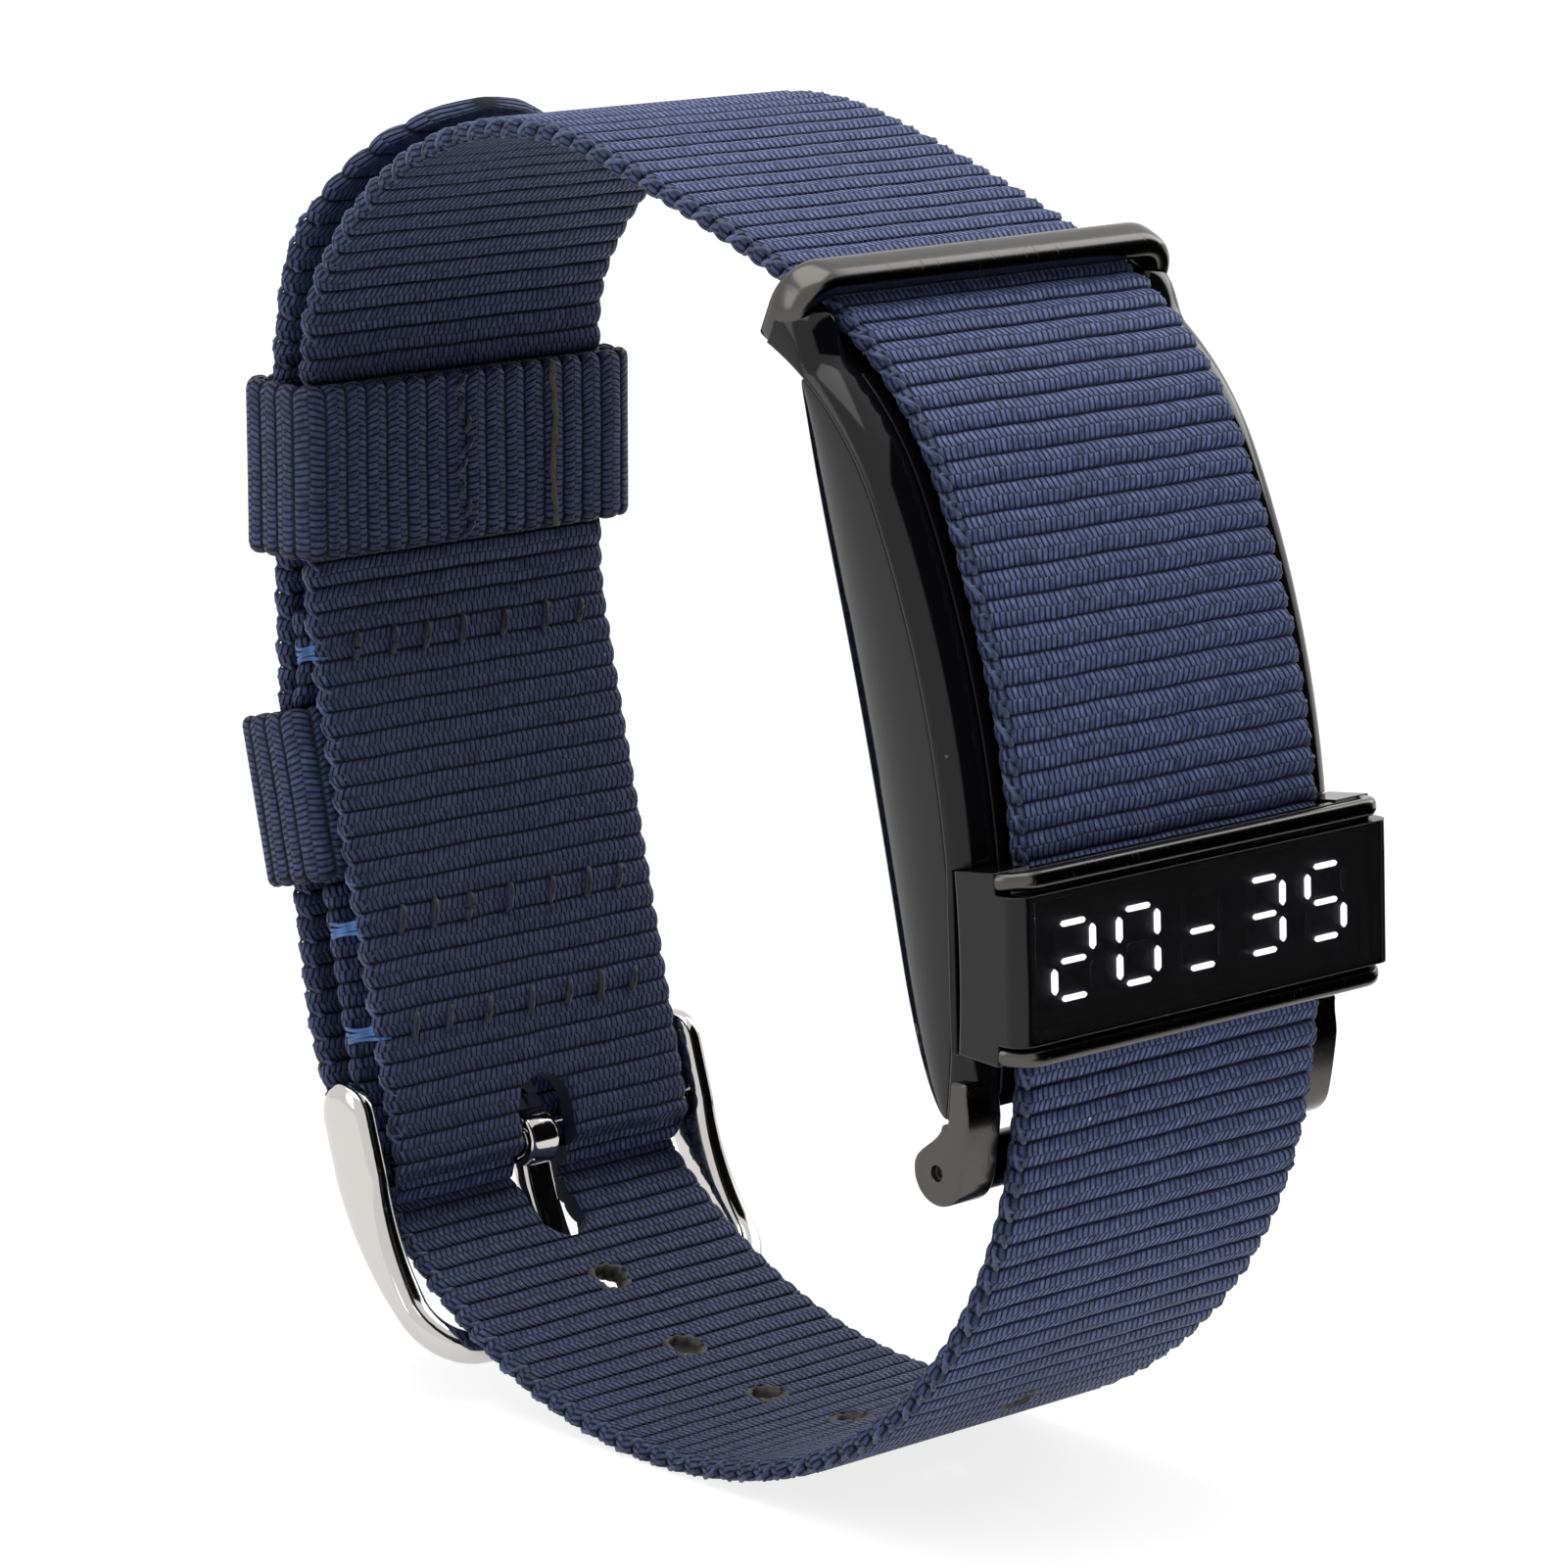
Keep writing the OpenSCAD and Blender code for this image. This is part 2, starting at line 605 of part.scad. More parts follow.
module outer_frame() {
    color([0.06, 0.06, 0.07])
    difference() {
        union() {
            plates(rail_w, rail_x) frame_side();
            top_bar();
        }
        for (s = stations(bar_b + STEP, case_b)) round_off(s, rail_out, rail_round, 1.1 * STEP);
        round_off(top_bar_at, bar_out, end_round, top_bar_run + 1);
        bar(low_bar_d - 0.96, module_w - 1.2, low_bar);
        flex(run_fit);
    }
}

module lower_bar() {
    color([0.3, 0.29, 0.28]) {
        bar(low_bar_d, module_w - 2 * rail_w - 0.1, low_bar);
        bar(low_bar_d - 1, module_w - 1.4, low_bar);
    }
}

// ---- Module: display ----

house_in = bar_in;
house_floor = 0.45;
corner_r = 0.9;
trim_run = 0.9;
house_w = module_w;
glass_w = module_w - 2 * glass_side;
pocket_run = glass_run + 0.1;
digit_w = digit_h * 0.71;
line_w = digit_h * 0.13;
digit_side = 1.8;
digit_pitch = (glass_w - digit_w - line_w) / 4 - digit_side / 2;
digit_t = 0.1;
// Lit segments of each digit, in the order top, upper right, lower right, bottom, lower left,
// upper left and middle
DIGITS = [[1, 1, 0, 1, 1, 0, 1], [1, 1, 1, 1, 1, 1, 0], [0, 0, 0, 1, 0, 0, 1],
    [1, 1, 1, 1, 0, 0, 1], [1, 0, 1, 1, 0, 1, 1]];
// Middle of each segment in half digit widths and half digit heights, and whether it stands
SEGMENTS = [[0, -1, 0], [1, -0.5, 1], [1, 0.5, 1], [0, 1, 0], [-1, 0.5, 1], [-1, -0.5, 1], [0, 0, 0]];

// Children in the display's axes: X across, Y down the strap and Z outwards from its underside
module in_display(z = 0) {
    on_route(display_at) translate([0, 0, -house_in - z]) mirror([0, 0, 1]) children();
}

module block(w, run, t, r = 0) {
    linear_extrude(t) if (r > 0) {
        square([w - 2 * r, run], center = true);
        square([w, run - 2 * r], center = true);
        for (x = [-1, 1], y = [-1, 1]) translate([x * (w / 2 - r), y * (run / 2 - r)]) circle(r, $fn = 32);
    } else square([w, run], center = true);
}

module display_housing() {
    color([0.05, 0.05, 0.06])
    difference() {
        union() {
            in_display() difference() {
                block(house_w, display_run - 2 * trim_run - 0.02, display_h);
                for (side = [-1, 1]) translate([side * (house_w / 2 - corner_r), 0, display_h - corner_r])
                    rotate([90, 0, 0]) difference() {
                        translate([side * corner_r / 2 + side * 1, corner_r / 2 + 1])
                            cube([corner_r + 2, corner_r + 2, 2 * display_run], center = true);
                        cylinder(r = corner_r, h = 3 * display_run, center = true, $fn = 48);
                    }
            }
            in_display() block(house_w - 2 * corner_r, display_run, house_floor);
            plates(rail_w, rail_x) strip(display_a, display_b, notch_out + EPS, bar_in + house_floor);
        }
        in_display(house_floor) block(board_l + 2 * run_fit, pocket_run - 0.8, WIDE);
        in_display(display_h - glass_t - 0.15) block(glass_w + 2 * run_fit, pocket_run, WIDE);
        flex(run_fit);
    }
}

module display_trims() {
    color([0.12, 0.12, 0.13])
    for (end = [-1, 1]) in_display(house_floor + EPS) translate([0, end * (display_run - trim_run) / 2, 0]) {
        rise = display_h - house_floor - trim_run / 2 + 0.15;
        translate([-house_w / 2 + trim_run / 2, -trim_run / 2 + 0.01, 0])
            cube([house_w - trim_run, trim_run - 0.02, rise]);
        translate([0, 0, rise]) rotate([0, 90, 0])
            cylinder(d = trim_run - 0.02, h = house_w - trim_run, center = true, $fn = 32);
    }
}

module display_glass() {
    color([0.02, 0.02, 0.03, 0.8])
    in_display(display_h - glass_t - 0.1) block(glass_w, glass_run, glass_t, 0.3);
}

board_l = glass_w - 1.6;
panel_t = 0.4;

module display_board() {
    color([0.04, 0.12, 0.06])
    in_display(house_floor + EPS) block(board_l, pocket_run - 1, panel_t);
}

module display_digits() {
    color([0.95, 0.97, 1])
    in_display(house_floor + panel_t + 2 * EPS)
    for (d = [0:len(DIGITS) - 1], k = [0:6]) if (DIGITS[d][k] > 0) {
        m = SEGMENTS[k];
        translate([(d - 2) * digit_pitch + m[0] * digit_w / 2, m[1] * digit_h / 2, 0])
            block(m[2] > 0 ? line_w : digit_w - 1.6 * line_w, m[2] > 0 ? digit_h / 2 - 1.6 * line_w : line_w,
                digit_t);
    }
}

flex_t = 0.15;
flex_w = 2.6;
flex_x = rail_x - 0.22;
flex_in_x = cavity_w / 2 - 1.6;
flex_deep = 3.4;
flex_low = flex_deep + 0.2;
flex_lap = 2;
flex_from = 4.5;
board_w = 5.9;
flex_at = display_at - module_at - flex_w / 2;

// Ribbon from the display board down a cheek, in under the cover and along to the main board
module flex(grow = 0) {
    top = house_in + house_floor + panel_t / 2 + grow;
    deep = flex_deep;
    g = grow;
    on_route(display_at) {
        translate([board_l / 2 + EPS - g, -flex_w / 2 - g, -top])
            cube([flex_x - board_l / 2 + flex_t + 2 * g, flex_w + 2 * g, flex_t + 2 * g]);
        translate([flex_x - g, -flex_w / 2 - g, -top])
            cube([flex_t + 2 * g, flex_w + 2 * g, top + deep + flex_t + g]);
        translate([flex_in_x - g, -flex_w / 2 - g, deep - g])
            cube([flex_x - flex_in_x + flex_t + 2 * g, flex_w + 2 * g, flex_t + 2 * g]);
    }
}

module display_flex() {
    color([0.75, 0.5, 0.12]) {
        flex();
        in_module() {
            translate([flex_in_x, flex_from, flex_low])
                cube([flex_t, flex_at - flex_from, board_w - EPS - flex_low]);
            translate([board_half - flex_lap, flex_from, board_w - flex_t - EPS])
                cube([flex_in_x - board_half + flex_lap + flex_t, 1.4, flex_t]);
        }
    }
}

// ---- Module: what the case holds ----

boss_depth = 4.4;
battery_w = cavity_w - 2 * battery_side;
board_half = battery_w / 2;
motor_end = 4.4;
motor_at = case_run / 2 - motor_end - motor_d / 2;
motor_w = 4.3;
boss_clear = 2.1;
main_a = boss_run + boss_r + boss_clear - case_run / 2;
contact_run = main_a + contact_d / 2 + 0.1;
battery_a = motor_at - motor_d / 2 - layer_gap - battery_run;
motor_clear = 1.4;
main_b = motor_at - motor_d / 2 - motor_clear;
can_t = 0.3;
tab_w = 1.6;
shaft_d = 0.6;
battery_w0 = board_w - 0.5 - battery_t;
sensor_w = board_w + board_t + 0.75;
chip_t = 0.6;
// Place of each chip across the board, in half widths, then along it, and its size
CHIPS = [[-0.61, -5.9, 3.4], [0.56, -5.9, 3], [-0.64, 3.7, 2.2], [0.61, 4, 2]];
barrier_d = 0.47 * window_d;
sensor_d = window_d - 2 * ledge - 0.4;

module main_board() {
    color([0.05, 0.3, 0.14])
    in_module() translate([-board_half, main_a, board_w]) cube([2 * board_half, main_b - main_a, board_t]);
}

module board_chips() {
    color([0.1, 0.1, 0.11])
    in_module() translate([0, 0, board_w + board_t + EPS]) {
        for (c = CHIPS) translate([c[0] * board_half, c[1], chip_t / 2])
            cube([c[2], c[2], chip_t], center = true);
    }
}

module battery() {
    color([0.75, 0.76, 0.78])
    in_module() translate([-battery_w / 2, battery_a, battery_w0])
        cube([battery_w, battery_run, battery_t]);
}

module battery_tabs() {
    color([0.8, 0.78, 0.7])
    in_module() for (side = [-1, 1])
        translate([side * battery_w / 5 - tab_w / 2, battery_a - flex_t - EPS, battery_w0 + 1])
        cube([tab_w, flex_t, board_w - battery_w0 - 1 - EPS]);
}

module sensor_window() {
    color([0.04, 0.04, 0.05, 0.7])
    in_module() translate([0, 0, window_w + EPS]) cylinder(d = window_d, h = window_t, $fn = 64);
}

module sensor_board() {
    color([0.05, 0.25, 0.12])
    in_module() translate([0, 0, sensor_w]) cylinder(d = sensor_d, h = board_t, $fn = 64);
}

module sensor_leds() {
    color([0.3, 0.85, 0.4])
    in_module() for (a = [90, 210, 330]) rotate(a)
        translate([0.23 * barrier_d, 0, sensor_w + board_t + 0.3 + EPS]) cube([0.9, 0.9, 0.6], center = true);
}

module sensor_photodiodes() {
    color([0.1, 0.1, 0.2])
    in_module() for (side = [-1, 1])
        translate([side * (barrier_d + sensor_d) / 4, 0, sensor_w + board_t + 0.2 + EPS])
        cube([1.1, 2, 0.4], center = true);
}

module light_barrier() {
    color([0.03, 0.03, 0.03])
    in_module() translate([0, 0, sensor_w + board_t + EPS]) difference() {
        cylinder(d = barrier_d, h = window_w - sensor_w - board_t - 2 * EPS, $fn = 48);
        translate([0, 0, -1]) cylinder(d = barrier_d - 0.8, h = WIDE, $fn = 48);
    }
}

module charging_contacts() {
    color([0.85, 0.68, 0.3]) contacts(contact_d, floor_w - 0.12);
}

module motor_case() {
    color([0.7, 0.7, 0.72])
    in_module() translate([0, motor_at, motor_w]) {
        difference() {
            cylinder(d = motor_d, h = motor_t, $fn = 64);
            translate([0, 0, can_t]) cylinder(d = motor_d - 2 * can_t, h = motor_t - 2 * can_t, $fn = 64);
        }
        cylinder(d = shaft_d, h = motor_t - EPS, $fn = 32);
    }
}

module motor_rotor() {
    color([0.45, 0.45, 0.48])
    in_module() translate([0, motor_at, motor_w + can_t + 0.2]) difference() {
        union() {
            cylinder(d = 3 * shaft_d, h = motor_t - 2 * can_t - 0.4, $fn = 32);
            intersection() {
                cylinder(d = motor_d - 2 * can_t - 0.4, h = motor_t - 2 * can_t - 0.4, $fn = 64);
                translate([-motor_d / 2, 0, 0]) cube([motor_d, motor_d, motor_t]);
            }
        }
        translate([0, 0, -1]) cylinder(d = shaft_d + 2 * run_fit, h = 2 * motor_t, $fn = 32);
    }
}

strap();
stitching();
fixed_keeper();
free_keeper();
buckle_frame();
buckle_pin();
buckle_tongue();
rear_case();
case_cover();
case_gasket();
case_screws();
outer_frame();
lower_bar();
display_housing();
display_trims();
display_glass();
display_board();
display_digits();
display_flex();
main_board();
board_chips();
battery();
battery_tabs();
sensor_window();
sensor_board();
sensor_leds();
sensor_photodiodes();
light_barrier();
charging_contacts();
motor_case();
motor_rotor();
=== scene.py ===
"""Fitness tracker band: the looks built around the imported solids, in metres."""

import math

import bmesh
import bpy
import numpy as np
from mathutils import Matrix, Vector

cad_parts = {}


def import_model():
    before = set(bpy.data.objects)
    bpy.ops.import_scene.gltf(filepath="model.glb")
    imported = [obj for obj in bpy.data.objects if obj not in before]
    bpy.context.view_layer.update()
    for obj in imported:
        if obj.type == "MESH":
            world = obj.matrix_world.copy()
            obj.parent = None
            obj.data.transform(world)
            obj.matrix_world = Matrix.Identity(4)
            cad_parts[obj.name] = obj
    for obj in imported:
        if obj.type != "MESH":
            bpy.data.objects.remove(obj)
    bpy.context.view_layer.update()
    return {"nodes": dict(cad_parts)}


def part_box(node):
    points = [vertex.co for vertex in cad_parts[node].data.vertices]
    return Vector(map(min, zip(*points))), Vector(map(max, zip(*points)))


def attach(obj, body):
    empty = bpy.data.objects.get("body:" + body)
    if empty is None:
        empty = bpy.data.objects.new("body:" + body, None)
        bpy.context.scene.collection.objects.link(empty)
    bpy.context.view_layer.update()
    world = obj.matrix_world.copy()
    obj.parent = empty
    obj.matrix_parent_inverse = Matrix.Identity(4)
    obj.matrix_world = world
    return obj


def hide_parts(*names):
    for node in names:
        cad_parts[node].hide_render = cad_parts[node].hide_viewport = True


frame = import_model()
NODES = frame["nodes"]
MM = 0.001
ACROSS = np.array([1.0, 0, 0])

# ---- Sizes, in millimetres, as the solids have them ----

STRAP_W = 2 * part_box("strap")[1].x / MM
STRAP_T = 1.1
LAYER_GAP = 0.1
STRAP_GAP = 0.25
RUN_FIT = 0.05
KEEPER_W = 9.2
KEEPER_T = 1.0
KEEPER_GAP = 0.3
PIN_D = 1.5
HOLE_D = 2.0
HOLE_PITCH = 6.5
HOLE_COUNT = 6
FOLD_RUN = 29.5
CASE_RUN = 38.0
CASE_DEPTH = 9.6
CASE_WALL = 1.1
COVER_T = 1.1
WINDOW_D = 11.0
CONTACT_D = 1.6
MODULE_W = 2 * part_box("rear_case")[1].x / MM
ARM_T = 1.6
ARM_DEPTH = 3.6
FAR_BAR_D = 1.6
TONGUE_W = 2.0
TONGUE_T = 1.2

RIB_PITCH = 1.33
THREAD_PITCH = 0.36

# ---- The strap's route, a chain of stretches: each one's length, and its turn in degrees ----

START = (18.823, 11.341)
START_TURN = 77.0
BACK_RUN = 27.0
KEEPER_RUN = 11.5
TAIL_LEAD = -1.2
TAIL_KEEPER, FACE, FLOOR, RISE, STRAIGHT = 14, 7, 9, 10, 2
STRETCHES = [
    [BACK_RUN, 0], [4, 14], [KEEPER_RUN, 0], [5, 33], [24.5, 72], [17, 7], [12, 41], [0, 34],
    [27, 63], [0, 44], [12, 21], [10, 35], [12.4, 5], [9, 5], [10, 0], [17, 37],
]


def chord(turn):
    """Length of an arc's chord, as a share of the arc."""
    half = math.radians(turn) / 2
    return math.sin(half) / half if half else 1.0


def turn_before(i):
    """The heading at which a stretch begins."""
    return START_TURN + sum(turn for _, turn in STRETCHES[:i])


def unit_move(i):
    """How far a stretch leads, for each unit of its length."""
    mid = math.radians(turn_before(i) + STRETCHES[i][1] / 2)
    return chord(STRETCHES[i][1]) * np.array([math.cos(mid), math.sin(mid)])


def close_route():
    """Sets the two free stretches so that the tail comes back to lie on the inner layer."""
    h = math.radians(turn_before(STRAIGHT))
    aim = 2 * (STRAP_T + LAYER_GAP) * np.array([math.sin(h), -math.cos(h)])
    aim += TAIL_LEAD * np.array([math.cos(h), math.sin(h)])
    aim -= sum(STRETCHES[i][0] * unit_move(i) for i in range(STRAIGHT, TAIL_KEEPER))
    runs = np.linalg.solve(np.array([unit_move(FACE), unit_move(FLOOR)]).T, aim)
    STRETCHES[FACE][0], STRETCHES[FLOOR][0] = float(runs[0]), float(runs[1])


close_route()


def ahead(place, run, turn):
    """The place [y, z, heading] that an arc of that length and turn leads to."""
    mid = math.radians(place[2] + turn / 2)
    step = run * chord(turn)
    return [place[0] + step * math.cos(mid), place[1] + step * math.sin(mid), place[2] + turn]


def at(s):
    """The strap's place [y, z, heading] at a distance along its route."""
    place = [*START, START_TURN]
    for i, (run, turn) in enumerate(STRETCHES):
        if s <= run or i == len(STRETCHES) - 1:
            return ahead(place, s, turn * s / run)
        place = ahead(place, run, turn)
        s -= run


def beside(place, out):
    """A place moved outwards, square to its heading."""
    h = math.radians(place[2])
    return [place[0] + out * math.sin(h), place[1] - out * math.cos(h), place[2]]


def off(s, out):
    """The place beside the route at a distance along it."""
    return beside(at(s), out)


def run_to(i):
    """The distance along the route at which a stretch begins."""
    return sum(run for run, _ in STRETCHES[:i])


STRAP_LEN = run_to(len(STRETCHES))
MODULE_AT = run_to(FACE) + 10.7
CASE_A = MODULE_AT - CASE_RUN / 2
CASE_B = MODULE_AT + CASE_RUN / 2
DISPLAY_AT = MODULE_AT + 11.2
FREE_KEEPER_AT = run_to(STRAIGHT) + 6
FIXED_KEEPER_AT = BACK_RUN - 6.9
TONGUE_HOLE_AT = run_to(RISE) + 8.5
TONGUE_HOLE_RUN = 6.2
HOLES_AT = [TONGUE_HOLE_AT - i * HOLE_PITCH for i in range(1, HOLE_COUNT + 1)]
FAR_BAR_AT = TONGUE_HOLE_AT - 7.2
STITCH_ROWS = [7.3, FIXED_KEEPER_AT - KEEPER_W / 2 - 2.6, BACK_RUN + 0.4]
PIN_OFFSET = PIN_D / 2 + RUN_FIT + STRAP_T / 2
PIN = off(0, PIN_OFFSET)
FOLD_KEEP = KEEPER_T + 2 * LAYER_GAP + STRAP_T
FOLD_A = FIXED_KEEPER_AT - KEEPER_W / 2
FOLD_B = FIXED_KEEPER_AT + KEEPER_W / 2 + 0.2
MODULE = at(MODULE_AT)


def fold_off(s):
    """How far the folded layer lies outside the inner one."""
    return float(np.interp(s, [0, FOLD_A, FOLD_B, FOLD_B + 2],
                           [2 * PIN_OFFSET, FOLD_KEEP, FOLD_KEEP, STRAP_T + LAYER_GAP]))


# ---- Mesh helpers ----


def in_scene(name, data):
    """A new object, linked into the scene."""
    obj = bpy.data.objects.new(name, data)
    bpy.context.scene.collection.objects.link(obj)
    return obj


def from_bmesh(name, bm):
    """A new object from a bmesh, which is freed."""
    mesh = bpy.data.meshes.new(name)
    bm.to_mesh(mesh)
    bm.free()
    return in_scene(name, mesh)


def add_mesh(name, points, faces, smooth=True):
    """A mesh object from points in millimetres."""
    mesh = bpy.data.meshes.new(name)
    mesh.from_pydata((np.asarray(points, float) * MM).tolist(), [], faces)
    mesh.validate()
    mesh.polygons.foreach_set("use_smooth", [smooth] * len(mesh.polygons))
    return in_scene(name, mesh)


def tube_faces(rows, ring, closed):
    """Faces of a tube of rings, joined end to end or capped."""
    faces = []
    for i in range(rows if closed else rows - 1):
        a, b = i * ring, (i + 1) % rows * ring
        faces += [[a + j, a + (j + 1) % ring, b + (j + 1) % ring, b + j] for j in range(ring)]
    if not closed:
        faces += [list(range(ring))[::-1], [(rows - 1) * ring + j for j in range(ring)]]
    return faces


def outward(obj):
    """Turns all faces outwards."""
    bm = bmesh.new()
    bm.from_mesh(obj.data)
    bmesh.ops.recalc_face_normals(bm, faces=bm.faces)
    bm.to_mesh(obj.data)
    bm.free()
    return obj


def tube(name, rows, points, smooth=True):
    """A capped tube through rows of points."""
    faces = tube_faces(rows, len(points) // rows, False)
    return outward(add_mesh(name, points, faces, smooth))


def apply_modifiers(obj):
    """Bakes an object's modifiers into its mesh."""
    view = bpy.context.evaluated_depsgraph_get()
    mesh = bpy.data.meshes.new_from_object(obj.evaluated_get(view))
    obj.modifiers.clear()
    obj.data = mesh
    return obj


def cut(obj, *cutters):
    """Cuts closed meshes out of a piece."""
    for cutter in cutters:
        step = obj.modifiers.new("cut", "BOOLEAN")
        step.operation = "DIFFERENCE"
        step.solver = "MANIFOLD"
        step.object = cutter
    bpy.context.view_layer.update()
    apply_modifiers(obj)
    for cutter in cutters:
        bpy.data.objects.remove(cutter)
    return obj


def joined(name, pieces):
    """One object from several."""
    bm = bmesh.new()
    for piece in pieces:
        piece.data.transform(piece.matrix_world)
        bm.from_mesh(piece.data)
        bpy.data.objects.remove(piece)
    return from_bmesh(name, bm)


def turned_rod(name, place, axis, radius, length, sides):
    """A closed cylinder about a point, for cutting."""
    bm = bmesh.new()
    bmesh.ops.create_cone(bm, cap_ends=True, segments=sides, radius1=radius * MM,
                          radius2=radius * MM, depth=length * MM)
    obj = from_bmesh(name, bm)
    turn = Vector((0, 0, 1)).rotation_difference(Vector(axis)).to_matrix().to_4x4()
    obj.matrix_world = Matrix.Translation(Vector(place) * MM) @ turn
    return obj


def ring_plane(place):
    """A place's point and its directions along the route and outwards."""
    h = math.radians(place[2])
    point = np.array([0, place[0], place[1]])
    return point, np.array([0, math.cos(h), math.sin(h)]), np.array([0, math.sin(h), -math.cos(h)])


def point_at(place, x, u, w):
    """The point x across from a place, u along the route and w outwards."""
    point, along, out = ring_plane(place)
    return point + x * ACROSS + u * along + w * out


def rings(centres, across, outwards, halves, power, sides):
    """Points of superellipse rings: halves gives each one's half sizes, across and outwards."""
    angles = np.arange(sides) / sides * 2 * math.pi
    cos, sin = np.cos(angles), np.sin(angles)
    a = np.sign(cos) * np.abs(cos) ** (2 / power)
    b = np.sign(sin) * np.abs(sin) ** (2 / power)
    halves = np.asarray(halves, float)
    points = (np.asarray(centres)[:, None]
              + (halves[:, 0, None] * a)[..., None] * np.asarray(across)[:, None]
              + (halves[:, 1, None] * b)[..., None] * np.asarray(outwards)[:, None])
    return points.reshape(-1, 3)


def sweep(name, centres, across, outwards, halves, power, sides, closed=False):
    """A tube through superellipse rings."""
    points = rings(centres, across, outwards, halves, power, sides)
    return outward(add_mesh(name, points, tube_faces(len(halves), sides, closed)))


# ---- Webbing ----

RIB_DEPTH = 0.42
EDGE_DEPTH = 0.3
GROOVE_FLOOR = 0.02
KEEPER_STEPS = 12
RIB_STEPS = [-1, -0.94, -0.7, -0.35, 0, 0.35, 0.7, 0.94]


def rib_rows(length):
    """Distances along a length of webbing, close together in its grooves, and how full each is."""
    count = max(1, round(length / RIB_PITCH))
    pitch = length / count
    rows = [(i + 0.5 + step / 2) * pitch for i in range(count) for step in RIB_STEPS]
    rows = np.array([*rows, length])
    phase = rows / pitch
    across = 2 * (phase - np.floor(phase)) - 1
    full = np.sqrt(np.clip(1 - across * across, GROOVE_FLOOR, 1))
    full[-1] = full[0]
    return rows, phase, full


def webbing(name, length, frames, half_w, half_t=STRAP_T / 2, closed=False, steps=22):
    """Ribbed webbing: frames(rows) gives each row's centre, and its directions across and outwards.

    The weave attribute holds the place round the webbing's girth, the rib number and the side; the
    side is -1 on the inner face, the end faces and the last rib, which get painted shade.
    """
    rows, phase, full = rib_rows(length)
    if closed:
        rows, phase, full = rows[:-1], phase[:-1], full[:-1]
    centres, across, outwards = frames(rows)
    thick = half_t * (1 - RIB_DEPTH * (1 - full))
    wide = half_w(rows) - EDGE_DEPTH * (1 - full)
    flat = np.linspace(-1, 1, steps)
    bend = np.radians([60, 30, 0, -30, -60])
    flats = np.concatenate([flat, np.ones(5), -flat, -np.ones(5)])
    ends = np.concatenate([np.zeros(steps), np.cos(bend), np.zeros(steps), -np.cos(bend)])
    outs = np.concatenate([np.ones(steps), np.sin(bend), -np.ones(steps), -np.sin(bend)])
    x = (wide - half_t)[:, None].clip(0.05) * flats + half_t * ends
    out = thick[:, None] * outs
    run = rows[:, None]
    slip = 0.05 * np.sin(0.9 * x + 0.31 * run) + 0.03 * np.sin(2.3 * x - 0.17 * run)
    along = np.cross(across, outwards)
    points = (centres[:, None] + x[..., None] * across[:, None] + out[..., None] * outwards[:, None]
              + (slip * full[:, None])[..., None] * along[:, None])
    ring = len(flats)
    faces = tube_faces(len(rows), ring, closed)
    obj = add_mesh(name, points.reshape(-1, 3), faces)
    girth = np.concatenate([[0], np.cumsum(np.hypot(np.diff(x[4]), np.diff(out[4])))])
    girth = np.append(girth, girth[-1] + 2 * half_t / 5)
    girth *= round(girth[-1] / THREAD_PITCH) / girth[-1]
    steps_on = 1 / len(RIB_STEPS)
    # The last rib and the end faces are marked like the inner face, so they take its painted shade,
    # which here also stands for the darker heat-sealed tip.
    sealed = len(rows) if closed else len(rows) - len(RIB_STEPS) - 1
    values = []
    for i, face in enumerate(faces):
        row, col = divmod(i, ring)
        if len(face) > 4:
            values += [(girth[v % ring], phase[v // ring], -1) for v in face]
            continue
        side = 1 if col < steps and row < sealed else -1
        last = phase[row + 1] if row + 1 < len(phase) else phase[row] + steps_on
        values += [(girth[col], phase[row], side), (girth[col + 1], phase[row], side),
                   (girth[col + 1], last, side), (girth[col], last, side)]
    weave = obj.data.attributes.new("weave", "FLOAT_VECTOR", "CORNER")
    weave.data.foreach_set("vector", np.array(values, np.float32).ravel())
    return outward(obj)


def strap_path():
    """The webbing's whole centreline as [y, z, heading]: the folded end, the turn, the strap."""
    fold = [beside(at(s), fold_off(s)) for s in np.arange(FOLD_RUN, 0, -0.25)]
    path = [[y, z, h + 180] for y, z, h in fold]
    h = math.radians(START_TURN)
    out, along = np.array([math.sin(h), -math.cos(h)]), np.array([math.cos(h), math.sin(h)])
    for turn in np.arange(0, 180, 6):
        a = math.radians(turn)
        spot = np.array(PIN[:2]) + PIN_OFFSET * (math.cos(a) * out - math.sin(a) * along)
        path.append([*spot, START_TURN + 180 + turn])
    path += [[y, z, h + 360] for y, z, h in (at(s) for s in np.arange(0, STRAP_LEN + 0.1, 0.25))]
    return np.array(path)


